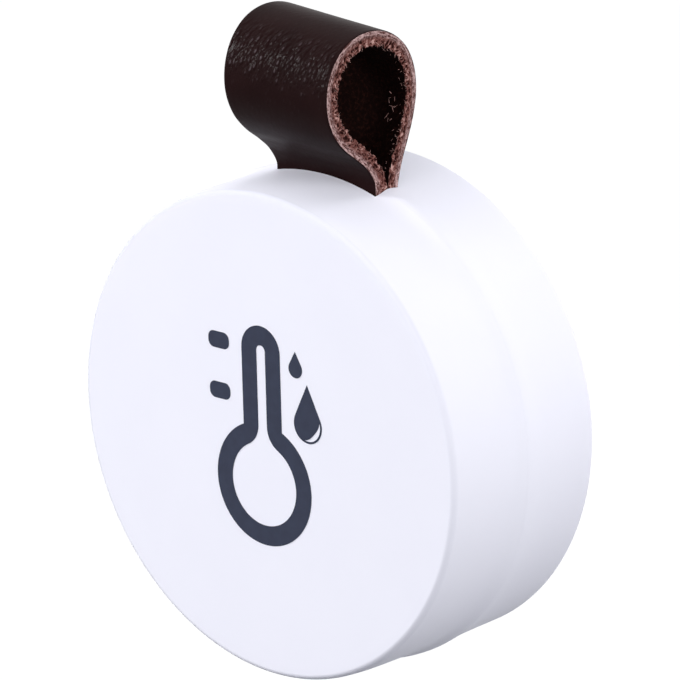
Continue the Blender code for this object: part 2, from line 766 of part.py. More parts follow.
def printed_field(name, outlines):
    """A flat field of ink bounded by closed outlines of (x, z) points, holes among them."""
    curve = bpy.data.curves.new(name, "CURVE")
    curve.dimensions = "2D"
    curve.fill_mode = "BOTH"
    curve.extrude = PRINT_THICKNESS / 2
    for outline in outlines:
        spline = curve.splines.new("POLY")
        spline.points.add(len(outline) - 1)
        for point, (x, z) in zip(spline.points, outline):
            point.co = (x, z, 0, 1)
        spline.use_cyclic_u = True
    field = place(name, curve, SLATE_INK, location=(SIGN_X, at(-PRINT_GAP - PRINT_THICKNESS / 2), 0))
    field.rotation_euler.x = math.radians(90)
    return field


def thermometer_outline():
    """Round bulb with a stem that ends in a half circle."""
    meet = math.degrees(math.acos(STEM_HALF_WIDTH / BULB_RADIUS))
    stem = print_arc(0, STEM_TOP_Z, STEM_HALF_WIDTH, 0, 180)
    bulb = print_arc(0, BULB_Z, BULB_RADIUS, 180 - meet, 360 + meet)
    return [*stem, *bulb]


def thermometer_slot():
    """Bore of the stem, which flares by a fillet on each side into the bore of the bulb."""
    drop = SLOT_FOOT_Z - BULB_Z
    fillet = (SLOT_HALF_WIDTH**2 + drop**2 - BULB_BORE**2) / (2 * (BULB_BORE - SLOT_HALF_WIDTH))
    centre = SLOT_HALF_WIDTH + fillet
    lean = math.degrees(math.atan2(drop, centre))
    top = print_arc(0, SLOT_TOP_Z, SLOT_HALF_WIDTH, 0, 180)
    left = print_arc(-centre, SLOT_FOOT_Z, fillet, 0, -lean)
    bulb = print_arc(0, BULB_Z, BULB_BORE, 180 - lean, 360 + lean)
    right = print_arc(centre, SLOT_FOOT_Z, fillet, 180 + lean, 180)
    return [*top, *left, *bulb[1:-1], *right]


def dash_outline(z):
    """Short bar with rounded corners."""
    x_side = DASH_LENGTH / 2 - DASH_CORNER
    z_side = DASH_HEIGHT / 2 - DASH_CORNER
    corners = [(x_side, z_side), (-x_side, z_side), (-x_side, -z_side), (x_side, -z_side)]
    outline = []
    for quarter, (x, z_corner) in enumerate(corners):
        outline += print_arc(DASH_X + x, z + z_corner, DASH_CORNER, 90 * quarter, 90 * quarter + 90)
    return outline


def drop_outline(x, z, radius, tip):
    """Round drop whose sides run straight from the circle to a tip above it."""
    lean = math.degrees(math.asin(radius / tip))
    return [(x, z + tip), *print_arc(x, z, radius, 180 - lean, 360 + lean)]


def glint_outline(x, z, radius, tip):
    """Crescent just inside the lower right of a drop."""
    outer = radius - GLINT_INSET
    far = print_arc(x, z, outer, GLINT_START, GLINT_END)
    steps = len(far) - 1
    near = []
    for i in range(steps - 1, 0, -1):
        share = i / steps
        angle = math.radians(GLINT_START + (GLINT_END - GLINT_START) * share)
        reach = outer - GLINT_WIDTH * math.sin(math.pi * share)
        near.append((x + reach * math.cos(angle), z + reach * math.sin(angle)))
    return [*far, *near]


def printed_sign():
    printed_field("sign_thermometer", [thermometer_outline(), thermometer_slot()])
    printed_field("sign_upper_dash", [dash_outline(UPPER_DASH_Z)])
    printed_field("sign_lower_dash", [dash_outline(LOWER_DASH_Z)])
    printed_field("sign_small_drop", [drop_outline(*SMALL_DROP)])
    printed_field("sign_large_drop", [drop_outline(*LARGE_DROP), glint_outline(*LARGE_DROP)])


# Assembly

front_shell()
rear_shell()
battery_door()
leather_strap()
for side, (pin_x, pin_height) in zip(("left", "right"), pin_places):
    strap_pin(f"strap_pin_{side}", pin_x, pin_height)
screw_length = seat_depth - (FACE_WALL + BOARD_STANDOFF - SCREW_GRIP)
for number, (screw_x, screw_z) in enumerate(screw_places, start=1):
    screw(f"casing_screw_{number}", screw_x, screw_z, seat_depth, HEAD_RADIUS, HEAD_HEIGHT, screw_length)
door_seat = body_depth - DOOR_HEAD_HEIGHT - 2 * CLEAR
door_screw_length = door_seat - ear_front + DOOR_SCREW_GRIP
screw("door_screw", 0, ear_height, door_seat, DOOR_HEAD_RADIUS, DOOR_HEAD_HEIGHT, door_screw_length)
circuit_board()
electronics()
sensor_gasket()
vent_membrane()
battery_holder()
contacts()
coin_cell()
printed_sign()
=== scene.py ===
"""Looks of a round wireless thermometer and hygrometer that hangs from a leather loop.

Metres: X to the right of the face, Y from the face to the back, Z up as it hangs.
A depth is measured from the face towards the back.
"""

import json
import math
import random

import bmesh
import bpy
import numpy as np
from mathutils import Matrix, Vector, noise


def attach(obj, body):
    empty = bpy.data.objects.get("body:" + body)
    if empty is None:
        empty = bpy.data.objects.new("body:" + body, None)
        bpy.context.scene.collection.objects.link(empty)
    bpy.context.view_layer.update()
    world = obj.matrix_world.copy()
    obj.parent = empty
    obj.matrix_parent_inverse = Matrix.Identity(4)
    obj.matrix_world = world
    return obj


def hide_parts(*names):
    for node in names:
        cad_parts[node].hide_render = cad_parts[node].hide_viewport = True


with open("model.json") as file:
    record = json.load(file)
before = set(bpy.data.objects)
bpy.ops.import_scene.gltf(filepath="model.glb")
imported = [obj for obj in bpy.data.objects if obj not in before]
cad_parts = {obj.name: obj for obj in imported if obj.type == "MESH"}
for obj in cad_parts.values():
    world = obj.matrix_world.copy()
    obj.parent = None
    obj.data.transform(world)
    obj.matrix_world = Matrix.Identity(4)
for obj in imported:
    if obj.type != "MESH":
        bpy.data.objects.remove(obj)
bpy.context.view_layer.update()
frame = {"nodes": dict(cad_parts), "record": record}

# Casing
BODY_DEPTH = 0.0228
FACE_RADIUS = 0.0275
CREST_RADIUS = 0.02834
SEAM_RADIUS = 0.0283
INNER_RADIUS = 0.0257
TONGUE_RADIUS = 0.0266
FACE_WALL = 0.0020
BACK_WALL = 0.0018
FACE_EDGE = 0.0007
BACK_EDGE = 0.0006
PARTING_DEPTH = 0.0113
PARTING_GAP = 0.000004
WALL_SPACING = 0.00035
SEAM_EDGE = 0.00002
FRONT_WALL = (
    (0.02769, 0.0007),
    (0.02779, 0.0019),
    (0.02785, 0.0033),
    (0.02788, 0.0055),
    (0.02790, 0.0080),
    (0.02792, 0.0092),
    (0.02798, 0.0099),
    (0.02812, 0.0106),
    (0.02826, 0.0111),
)
REAR_WALL = (
    (0.02832, 0.0114),
    (0.02834, 0.0117),
    (0.02829, 0.0123),
    (0.02817, 0.0132),
    (0.02808, 0.0143),
    (0.02799, 0.0160),
    (0.02792, 0.0185),
    (0.02788, 0.0210),
    (0.02786, 0.0222),
)
TONGUE_LENGTH = 0.0015
CLEAR = 0.0003
DOOR_CLEAR = 0.00015
BOARD_FRONT = 0.00965
BOARD_BACK = 0.01125

# Fasteners, bosses and vent
SCREW_CIRCLE = 0.0215
SCREW_ANGLES = (30, 150, 270)
SEAT_DEPTH = 0.01425
BOSS_RADIUS = 0.0026
PILLAR_RADIUS = 0.0031
HEAD_RADIUS = 0.0018
HEAD_HEIGHT = 0.0014
SHANK_RADIUS = 0.0008
SCREW_GRIP = 0.0050
HEAD_ROUND = 0.6
THREAD_PITCH = 0.0005
THREAD_ROOT = 0.78
RECESS_REACH = 0.6
RECESS_HALF_WIDTH = 0.00022
RECESS_DEPTH = 0.0006
PIN_RADIUS = 0.0008
PIN_SPACING = 0.0084
PIN_HEIGHT = 0.0239
PIN_SEAT = 0.0025
REAR_PIN_SEAT = 0.0033
PIN_BOSS_RADIUS = 0.0020
VENT_PLACE = (-0.016454, -0.0095)
CHIMNEY_BORE = 0.0024
CHIMNEY_RADIUS = 0.0033
CHIMNEY_FRONT = 0.01335
VENT_HOLE_RADIUS = 0.0005
VENT_RING_RADIUS = 0.0015

# Battery door
DOOR_PLUG_RADIUS = 0.0136
DOOR_RADIUS = 0.0149
DOOR_FLANGE = 0.0007
DOOR_EDGE = 0.00015
LIP_EDGE = 0.00012
EAR_RADIUS = 0.0026
EAR_HEIGHT = 0.0178
EAR_THICKNESS = 0.0021
EAR_BOSS_RADIUS = 0.0037
EAR_BOSS_LENGTH = 0.0070
DOOR_HEAD_RADIUS = 0.0016
DOOR_HEAD_HEIGHT = 0.0009
DOOR_SCREW_GRIP = 0.0040
HOOK_WIDTH = 0.0060
HOOK_THICKNESS = 0.0008
HOOK_NECK = (-0.01345, -0.01255)
HOOK_TIP = (-0.0151, -0.0130)

# Strap
STRAP_WIDTH = 0.0146
STRAP_RIGHT = 0.00835
STRAP_THICKNESS = 0.00175
STRAP_DEPTH = 0.01148
STRAP_PLY_GAP = 0.00020
STRAP_TAIL = 0.0062
STRAP_FULLNESS = 0.065
SLOT_ROOM = 0.00006
SLOT_LEAN = 0.00008
LOOP_FOOT = 0.02794
LOOP_LINE = (
    (-0.00097, 0.0000),
    (-0.00206, 0.00214),
    (-0.00382, 0.00378),
    (-0.00574, 0.00525),
    (-0.00734, 0.00706),
    (-0.00824, 0.00929),
    (-0.00823, 0.01169),
    (-0.00734, 0.01393),
    (-0.00560, 0.01557),
    (-0.00332, 0.01632),
    (-0.00091, 0.01622),
    (0.00133, 0.01534),
    (0.00312, 0.01374),
    (0.00411, 0.01155),
    (0.00431, 0.00915),
    (0.00383, 0.00679),
    (0.00295, 0.00453),
    (0.00198, 0.00232),
    (0.00119, 0.0000),
)

# Sign on the face
SIGN_X = -0.0003
BULB_Z = -0.0055
BULB_RADIUS = 0.00705
BULB_BORE = 0.00478
STEM_HALF_WIDTH = 0.00286
STEM_TOP_Z = 0.0098
SLOT_HALF_WIDTH = 0.00065
SLOT_TOP_Z = 0.0098
SLOT_FOOT_Z = 0.00124
DASH_LENGTH = 0.0031
DASH_HEIGHT = 0.0019
DASH_CORNER = 0.0008
DASH_X = -0.0063
UPPER_DASH_Z = 0.0099
LOWER_DASH_Z = 0.0041
SMALL_DROP = (0.00515, 0.0087, 0.0010, 0.0020)
LARGE_DROP = (0.0068, 0.0026, 0.00206, 0.0046)
GLINT_INSET = 0.00024
GLINT_WIDTH = 0.00058
GLINT_START = 20
GLINT_END = -106
INK_THICKNESS = 0.00003
INK_GAP = 0.00001

# Camera, from the outlines of the photographed face and back
CAMERA_AZIMUTH = 43.07
CAMERA_ELEVATION = 17.13
CAMERA_ROLL = -1.48
CAMERA_DISTANCE = 24.493 * FACE_RADIUS
CAMERA_SHIFT = (0.298 * FACE_RADIUS, 0.386 * FACE_RADIUS)
CAMERA_FOCAL = 6156 / 680  # in widths of the picture
SENSOR_WIDTH = 36

# Studio
LAMP_DISTANCE = 1.0
LAMPS = (  # name, azimuth, elevation, size, power
    ("left_key", -47, 27, (0.14, 0.24), 7.0),
    ("front_low", -12, 2, (0.67, 0.30), 2.35),
    ("front_high", -5, 30, (0.67, 0.40), 1.6),
    ("high_left", -50, 50, (0.67, 0.67), 1.0),
    ("far_left", -100, 60, (0.75, 0.75), 1.4),
    ("right_low", 60, -5, (0.67, 0.50), 1.0),
    ("right_wide", 75, 10, (1.20, 1.20), 1.5),
    ("right_fill", 90, 15, (0.75, 0.75), 7.6),
    ("high_front", 50, 60, (0.75, 0.75), 1.2),
    ("high_back", 180, 60, (0.75, 0.75), 2.8),
    ("behind", 180, 8, (0.75, 0.75), 4.8),
)
WORLD_COLOUR = (0.80, 0.88, 1.0)
WORLD_LEVEL = 0.05
FLOOR_BELOW = 0.300
FLOOR_HALF_WIDTH = 3.0
FLOOR_COLOUR = (0.06, 0.065, 0.08)


def at(depth):
    """Y of a depth behind the face."""
    return depth - BODY_DEPTH


def on_circle(radius, degrees):
    """X and Z of a point on a circle round the body's axis."""
    angle = math.radians(degrees)
    return radius * math.cos(angle), radius * math.sin(angle)


def arc(x, z, radius, start, end, step=3):
    """Points of an arc, from one angle in degrees to another."""
    steps = max(1, math.ceil(abs(end - start) / step))
    angles = [math.radians(start + (end - start) * i / steps) for i in range(steps + 1)]
    return [(x + radius * math.cos(a), z + radius * math.sin(a)) for a in angles]


def smooth_line(knots, spacing):
    """Points on a smooth curve through the knots, evenly spaced."""
    knots = np.array(knots, float)
    along = np.concatenate([[0], np.cumsum(np.linalg.norm(np.diff(knots, axis=0), axis=1))])
    slopes = np.gradient(knots, along, axis=0)
    dense = []
    for i in range(len(knots) - 1):
        span = along[i + 1] - along[i]
        for t in np.linspace(0, 1, 40, endpoint=False):
            start = (2 * t**3 - 3 * t**2 + 1) * knots[i] + (t**3 - 2 * t**2 + t) * span * slopes[i]
            end = (3 * t**2 - 2 * t**3) * knots[i + 1] + (t**3 - t**2) * span * slopes[i + 1]
            dense.append(start + end)
    dense = np.array([*dense, knots[-1]])
    run = np.concatenate([[0], np.cumsum(np.linalg.norm(np.diff(dense, axis=0), axis=1))])
    stations = np.linspace(0, run[-1], int(run[-1] / spacing) + 1)
    return np.column_stack([np.interp(stations, run, dense[:, k]) for k in (0, 1)]), stations


# Finishes


class Wire:
    """An output socket in a node tree. Python's operators on it add Math nodes."""

    def __init__(self, nodes, socket):
        self.nodes = nodes
        self.socket = socket

    def math(self, operation, *values):
        return self.nodes.node("ShaderNodeMath", {"operation": operation}, dict(enumerate(values)))

    def __add__(self, other):
        return self.math("ADD", self, other)

    def __sub__(self, other):
        return self.math("SUBTRACT", self, other)

    def __rsub__(self, other):
        return self.math("SUBTRACT", other, self)

    def __mul__(self, other):
        return self.math("MULTIPLY", self, other)

    def __truediv__(self, other):
        return self.math("DIVIDE", self, other)

    def __rtruediv__(self, other):
        return self.math("DIVIDE", other, self)

    def least(self, other):
        return self.math("MINIMUM", self, other)

    def most(self, other):
        return self.math("MAXIMUM", self, other)

    def between(self, low, high, start=0.0, end=1.0):
        """This value from low to high, smoothed and mapped to start to end."""
        settings = {"interpolation_type": "SMOOTHSTEP"}
        inputs = {"Value": self, "From Min": low, "From Max": high, "To Min": start, "To Max": end}
        return self.nodes.node("ShaderNodeMapRange", settings, inputs)

    __radd__ = __add__
    __rmul__ = __mul__


class Nodes:
    """The node tree of a finish or of the world. One method makes all its nodes."""

    def __init__(self, tree):
        self.tree = tree

    def set(self, node, key, value):
        socket = node.inputs[key]
        if isinstance(value, Wire):
            self.tree.links.new(value.socket, socket)
        else:
            socket.default_value = value

    def node(self, kind, settings=None, inputs=None, output=0):
        """Adds a node: its settings first, then the values or links of its sockets."""
        made = self.tree.nodes.new(kind)
        for key, value in (settings or {}).items():
            setattr(made, key, value)
        for key, value in (inputs or {}).items():
            self.set(made, key, value)
        return Wire(self, made.outputs[output])

    def show_as(self, lit, seen, output):
        """Lights the object with one shader, and shows another as the background."""
        path = self.node("ShaderNodeLightPath").socket.node
        rays = ("Is Camera Ray", "Is Glossy Ray", "Is Transmission Ray")
        camera_ray, glossy_ray, transmission_ray = (Wire(self, path.outputs[ray]) for ray in rays)
        share = camera_ray.most(glossy_ray).most(transmission_ray)
        shown = self.node("ShaderNodeMixShader", inputs={0: share, 1: lit, 2: seen})
        self.set(self.tree.nodes[output], "Surface", shown)


class Finish(Nodes):
    """A procedural material for one slot, with a Principled shader."""

    def __init__(self, name, colour, roughness, metallic=0.0, specular=0.5):
        self.material = bpy.data.materials.new(name)
        self.material.use_nodes = True
        self.material.diffuse_color = (*colour, 1.0)
        super().__init__(self.material.node_tree)
        self.shader = self.tree.nodes["Principled BSDF"]
        self.set(self.shader, "Base Color", (*colour, 1.0))
        self.set(self.shader, "Roughness", roughness)
        self.set(self.shader, "Metallic", metallic)
        self.set(self.shader, "Specular IOR Level", specular)

    def feed(self, **wires):
        """Links what changes over the surface to the shader, such as base_color or roughness."""
        for key, value in wires.items():
            self.set(self.shader, key.replace("_", " ").title(), value)

    def place(self, scale=(1, 1, 1)):
        """The point on the piece at rest, in metres times a scale."""
        point = self.node("ShaderNodeTexCoord", output="Object")
        return self.vector("MULTIPLY", point, tuple(scale))

    def attribute(self, name, output="Fac"):
        return self.node("ShaderNodeAttribute", {"attribute_name": name}, output=output)

    def vector(self, operation, *values):
        return self.node("ShaderNodeVectorMath", {"operation": operation}, dict(enumerate(values)))

    def parts(self, vector):
        split = self.node("ShaderNodeSeparateXYZ", inputs={0: vector}).socket.node
        return [Wire(self, output) for output in split.outputs]

    def join(self, x, y, z):
        return self.node("ShaderNodeCombineXYZ", inputs={0: x, 1: y, 2: z})

    def noise(self, point, scale, detail=3.0, rough=0.5, distortion=0.0):
        inputs = {"Vector": point, "Scale": scale, "Detail": detail, "Roughness": rough,
                  "Distortion": distortion}
        return self.node("ShaderNodeTexNoise", inputs=inputs)

    def cells(self, point, scale, feature="F1", randomness=1.0):
        inputs = {"Vector": point, "Scale": scale, "Randomness": randomness}
        return self.node("ShaderNodeTexVoronoi", {"feature": feature}, inputs)

    def mix(self, share, low, high):
        """A colour between two colours."""
        mixed = self.node("ShaderNodeMix", {"data_type": "RGBA"}, {"Factor": share})
        node = mixed.socket.node
        colours = [socket for socket in node.inputs if socket.type == "RGBA"]
        for socket, value in zip(colours, (low, high)):
            if isinstance(value, Wire):
                self.tree.links.new(value.socket, socket)
            else:
                socket.default_value = (*value, 1.0)
        return Wire(self, next(socket for socket in node.outputs if socket.type == "RGBA"))

    def bump(self, height, distance, strength=1.0):
        """Height in shares of a distance in metres."""
        inputs = {"Height": height, "Distance": distance, "Strength": strength}
        self.feed(normal=self.node("ShaderNodeBump", inputs=inputs))


# painted shade on the rounded edge of the face: its radii, depths and side
RIM_SHADE_RADII = (0.02697, 0.0273)
RIM_SHADE_DEPTHS = (0.0008, 0.0003)
RIM_SHADE_HEIGHTS = (-0.010, 0.018)


def white_plastic():
    """Moulded plastic with a fine satin skin, with painted shade on the upper left of its rim."""
    made = Finish("white_plastic", (0.855, 0.855, 0.950), 0.50, specular=0.05)
    point = made.place()
    cloud = made.noise(point, 90, detail=2)
    grain = made.noise(point, 9000, detail=2)
    skin = made.mix(cloud.between(0.3, 0.7), (0.850, 0.850, 0.946), (0.860, 0.860, 0.954))
    x, y, z = made.parts(point)
    # painted shade: the rounded edge of the face is darker in its colour towards the upper left
    round_edge = (x * x + z * z).between(*(radius**2 for radius in RIM_SHADE_RADII))
    rim = round_edge * y.between(*map(at, RIM_SHADE_DEPTHS))
    painted_shade_side = (z - x * 0.6).between(*RIM_SHADE_HEIGHTS, 0.45, 1.0)
    skin = made.mix(rim * painted_shade_side, skin, (0.725, 0.730, 0.825))
    made.feed(base_color=skin, roughness=0.48 + 0.04 * grain + 0.03 * cloud)
    made.bump(grain, 0.000006)
    return made


def slate_ink():
    """Pad printed ink, slightly uneven."""
    made = Finish("slate_ink", (0.031, 0.036, 0.062), 0.48, specular=0.12)
    point = made.place()
    speck = made.noise(point, 6000, detail=2)
    cloud = made.noise(point, 700, detail=2)
    made.feed(
        base_color=made.mix(cloud.between(0.3, 0.7), (0.029, 0.034, 0.059), (0.033, 0.039, 0.067)),
        roughness=0.42 + 0.12 * speck,
    )
    made.bump(speck, 0.000004)
    return made


GRAIN_BAND = (0.0196, 0.0216, 0.0238, 0.0260)
GRAIN_SCALE = 1900
GRAIN_WANDER = 0.0024
GRAIN_FAINT = 0.06
DYED_DEPTHS = (0.075, 0.03)
LEATHER_RELIEF = 0.00012


def brown_leather():
    """Leather: grained skin outside, napped flesh inside, and a fibrous cut edge."""
    made = Finish("brown_leather", (0.030, 0.014, 0.012), 0.5, specular=0.024)
    strip = made.attribute("strip", "Vector")
    along, across, through = made.parts(strip)
    edge = made.attribute("cut")
    flesh = made.attribute("flesh")
    relief = made.attribute("relief")
    inner = flesh.most(edge)

    # grain of the skin: long pebbles that lean a little to the right
    lean = made.join(across * 0.93 - along * 0.37, along * 0.54 + across * 0.22, 0.0)
    pebble = made.cells(lean, GRAIN_SCALE, randomness=0.85)
    swell = made.noise(lean, GRAIN_SCALE, detail=2, rough=0.45)
    patch = made.noise(strip, 130, detail=2)
    pore = made.noise(strip, 9000, detail=2)
    bent = along + (swell - 0.5) * GRAIN_WANDER
    grain = (bent.between(*GRAIN_BAND[:2], GRAIN_FAINT, 1.0)
             * bent.between(*GRAIN_BAND[2:], 1.0, GRAIN_FAINT))
    dome = (1 - pebble * pebble * 2.0).most(0.0)
    skin_height = (dome * 2.6 + swell * 1.6) * grain + pore * 0.06
    skin_dark, skin_light = (0.0100, 0.0034, 0.0036), (0.0126, 0.0044, 0.0046)
    skin_colour = made.mix(patch.between(0.35, 0.65), skin_dark, skin_light)
    # painted highlight: lighter pebble tops, only in the band where the lamp's reflection falls
    painted_glint_tops = dome.between(0.80, 0.97) * swell.between(0.28, 0.58) * grain
    skin_colour = made.mix(painted_glint_tops, skin_colour, (0.060, 0.044, 0.049))

    # the cut edge: pale pressed layers under the skin, then torn red fibres, with painted shade in the
    # gaps where the relief is low
    layer_point = made.join(along, across * 0.4, through * 6.0)
    layer = made.noise(layer_point, 1000, detail=4, rough=0.6, distortion=0.5)
    tuft = made.noise(strip, 4200, detail=3, rough=0.55, distortion=1.2)
    depth = through / STRAP_THICKNESS
    torn = (depth + (layer - 0.5) * 0.9).between(0.20, 0.58)
    # painted shade: the pressed layers and torn fibres are darker where the relief is low, paler where
    # the fibres stand out
    pressed = (layer + (tuft - 0.5) * 0.7 + relief * 0.35).between(0.36, 0.68)
    pressed_colour = made.mix(pressed, (0.100, 0.040, 0.036), (0.590, 0.405, 0.395))
    stand = relief + (tuft - 0.5) * 0.9
    torn_fibres_with_painted_shade = made.mix(stand.between(-0.30, 0.15), (0.018, 0.0045, 0.0038), (0.175, 0.068, 0.058))
    torn_fibres_with_painted_shade = made.mix(stand.between(0.12, 0.52), torn_fibres_with_painted_shade, (0.570, 0.348, 0.316))
    edge_colour = made.mix(torn, pressed_colour, torn_fibres_with_painted_shade)
    edge_colour = made.mix(depth.between(*DYED_DEPTHS), edge_colour, (0.014, 0.006, 0.006))

    # nap of the flesh side
    nap = made.noise(strip, 2400, detail=5, rough=0.7)
    flesh_colour = made.mix(nap.between(0.45, 0.80), (0.0045, 0.0014, 0.0012), (0.030, 0.0095, 0.0070))

    colour = made.mix(flesh, skin_colour, flesh_colour)
    colour = made.mix(edge, colour, edge_colour)
    rough = 0.34 - 0.16 * grain + 0.06 * pore + 0.04 * patch + inner * 0.60
    height = skin_height * (1 - inner) * 0.36 + flesh * nap * 1.2 + edge * (layer * 0.5 + tuft * 0.8)
    made.feed(base_color=colour, roughness=rough.least(0.95))
    made.bump(height, LEATHER_RELIEF)
    return made


def plain(name, colour, roughness, metallic=0.0, specular=0.5, scale=3000, streak=(1, 1, 1),
          depth=0.000004, spread=0.10):
    """A finish whose colour and gloss wander a little over a fine grain."""
    made = Finish(name, colour, roughness, metallic, specular)
    point = made.place(streak)
    grain = made.noise(point, scale, detail=3)
    cloud = made.noise(point, scale / 18, detail=2)
    dark = tuple(c * (1 - spread) for c in colour)
    light = tuple(min(1.0, c * (1 + spread)) for c in colour)
    made.feed(
        base_color=made.mix((grain * 0.5 + cloud * 0.5).between(0.35, 0.65), dark, light),
        roughness=roughness - 0.05 + 0.10 * grain,
    )
    made.bump(grain, depth)
    return made


def board_laminate():
    """Green solder mask over copper tracks."""
    made = Finish("board_laminate", (0.02, 0.17, 0.07), 0.35)
    point = made.place((1, 0, 1))
    track = made.cells(point, 420, feature="DISTANCE_TO_EDGE", randomness=0.35).between(0.05, 0.09)
    weave = made.noise(point, 2600, detail=2)
    made.feed(
        base_color=made.mix(track, (0.035, 0.26, 0.10), (0.014, 0.135, 0.055)),
        roughness=0.30 + 0.12 * weave,
    )
    made.bump(1 - track * 0.8 + weave * 0.1, 0.00003)
    return made


def filter_sheet():
    """White filter sheet of matted fibres."""
    made = Finish("filter_white", (0.88, 0.88, 0.86), 0.8)
    point = made.place()
    fibre = made.cells(point, 9000, feature="DISTANCE_TO_EDGE")
    made.feed(
        base_color=made.mix(fibre.between(0.0, 0.2), (0.90, 0.90, 0.88), (0.74, 0.74, 0.72)),
        roughness=0.75 + 0.15 * fibre,
    )
    made.bump(1 - fibre, 0.00003)
    return made


finishes = {
    "white_plastic": white_plastic(),
    "slate_ink": slate_ink(),
    "brown_leather": brown_leather(),
    "screw_steel": plain("screw_steel", (0.56, 0.57, 0.58), 0.33, 1.0, scale=6000),
    "pin_steel": plain("pin_steel", (0.62, 0.62, 0.63), 0.26, 1.0, scale=5000, streak=(1, 0.1, 1)),
    "board_laminate": board_laminate(),
    "chip_black": plain("chip_black", (0.02, 0.02, 0.022), 0.5, scale=9000),
    "crystal_can": plain("crystal_can", (0.66, 0.65, 0.62), 0.28, 1.0, streak=(1, 1, 0.1)),
    "antenna_ceramic": plain("antenna_ceramic", (0.82, 0.83, 0.80), 0.45, scale=5000),
    "capacitor_ceramic": plain("capacitor_ceramic", (0.42, 0.30, 0.18), 0.45, scale=8000),
    "holder_plastic": plain("holder_plastic", (0.03, 0.03, 0.033), 0.52, scale=5000, depth=0.00001),
    "contact_nickel": plain("contact_nickel", (0.70, 0.68, 0.62), 0.25, 1.0, streak=(0.1, 1, 1)),
    "cell_steel": plain("cell_steel", (0.72, 0.72, 0.73), 0.22, 1.0, scale=7000),
    "gasket_foam": plain("gasket_foam", (0.05, 0.05, 0.055), 0.95, scale=7000, depth=0.00008, spread=0.4),
    "filter_white": filter_sheet(),
}
slots = {entry["node"]: entry["material_slot"] for entry in frame["record"]["subparts"]}


# Pieces


def place(name, mesh, slot, *nodes):
    """A piece that rides on the part, in the finish of its slot, and stands for CAD nodes."""
    piece = bpy.data.objects.new(name, mesh)
    bpy.context.scene.collection.objects.link(piece)
    mesh.materials.clear()
    mesh.materials.append(finishes[slot].material)
    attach(piece, "root")
    if nodes:
        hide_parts(*nodes)
    return piece


def turned_mesh(name, profile, steps, x=0.0, z=0.0, ring=False):
    """A profile of (radius, depth) points, front to back over its outer side, turned about Y."""
    work = bmesh.new()
    rings = []
    for radius, depth in profile:
        if radius == 0:
            rings.append([work.verts.new((x, at(depth), z))])
            continue
        places = (on_circle(radius, 360 * i / steps) for i in range(steps))
        rings.append([work.verts.new((x + dx, at(depth), z + dz)) for dx, dz in places])
    pairs = list(zip(rings, rings[1:]))
    if ring:
        pairs.append((rings[-1], rings[0]))
    for near, far in pairs:
        for i in range(steps):
            k = (i + 1) % steps
            corners = [near[i % len(near)], near[k % len(near)], far[k % len(far)], far[i % len(far)]]
            corners = [v for n, v in enumerate(corners) if v not in corners[:n]]
            work.faces.new(corners)
    bmesh.ops.recalc_face_normals(work, faces=work.faces)
    mesh = bpy.data.meshes.new(name)
    work.to_mesh(mesh)
    work.free()
    return mesh


def rods_mesh(rods=(), slabs=(), segments=64):
    """Rods of (x, z, radius, start, end) along Y and slabs of (x, depth, z) ranges, in one mesh."""
    work = bmesh.new()
    turn = Matrix.Rotation(math.radians(-90), 4, "X")
    for x, z, radius, start, end in rods:
        middle = Matrix.Translation((x, at((start + end) / 2), z))
        bmesh.ops.create_cone(work, cap_ends=True, segments=segments, radius1=radius, radius2=radius,
                              depth=end - start, matrix=middle @ turn)
    for x_range, depth_range, z_range in slabs:
        low = Vector((x_range[0], at(depth_range[0]), z_range[0]))
        high = Vector((x_range[1], at(depth_range[1]), z_range[1]))
        size = Matrix.Diagonal((*(high - low), 1))
        bmesh.ops.create_cube(work, size=1, matrix=Matrix.Translation((low + high) / 2) @ size)
    mesh = bpy.data.meshes.new("tool")
    work.to_mesh(mesh)
    work.free()
    return mesh


def worked(mesh, steps, edge_angle=32):
    """The mesh after joining (UNION) and cutting (DIFFERENCE) rods and slabs, with crisp edges kept."""
    stock = bpy.data.objects.new("stock", mesh)
    bpy.context.scene.collection.objects.link(stock)
    tools = []
    for operation, shapes in steps:
        tool = bpy.data.objects.new("tool", rods_mesh(**shapes))
        bpy.context.scene.collection.objects.link(tool)
        tools.append(tool)
        change = stock.modifiers.new("change", "BOOLEAN")
        change.operation = operation
        change.solver = "EXACT"
        change.object = tool
    done = bpy.data.meshes.new_from_object(stock.evaluated_get(bpy.context.evaluated_depsgraph_get()))
    done.name = mesh.name
    for piece in (stock, *tools):
        bpy.data.objects.remove(piece, do_unlink=True)
    done.shade_smooth()
    done.set_sharp_from_angle(angle=math.radians(edge_angle))
    return done


def even(piece):
    """Lets the large faces set the shading round their edges."""
    weigh = piece.modifiers.new("even", "WEIGHTED_NORMAL")
    weigh.keep_sharp = True
    weigh.weight = 100
    return piece


pin_places = [(side * PIN_SPACING / 2, PIN_HEIGHT) for side in (-1, 1)]
pin_bore = PIN_RADIUS + CLEAR
screw_places = [on_circle(SCREW_CIRCLE, angle) for angle in SCREW_ANGLES]
screw_bore = SHANK_RADIUS + CLEAR
strap_left = STRAP_RIGHT - STRAP_WIDTH
ply_offset = (STRAP_THICKNESS + STRAP_PLY_GAP) / 2
strap_front = STRAP_DEPTH - ply_offset - STRAP_THICKNESS / 2
strap_back = STRAP_DEPTH + ply_offset + STRAP_THICKNESS / 2
strap_slot = (
    (strap_left - SLOT_ROOM, STRAP_RIGHT + SLOT_ROOM),
    (strap_front - SLOT_LEAN, strap_back + SLOT_LEAN),
    (LOOP_FOOT - STRAP_TAIL, CREST_RADIUS + BACK_WALL),
)


def wall_line(knots, low, high):
    """Points of a smooth wall through (radius, depth) knots, between two depths."""
    line, _ = smooth_line(knots, WALL_SPACING)
    return [(radius, depth) for radius, depth in line.tolist() if low < depth <= high]


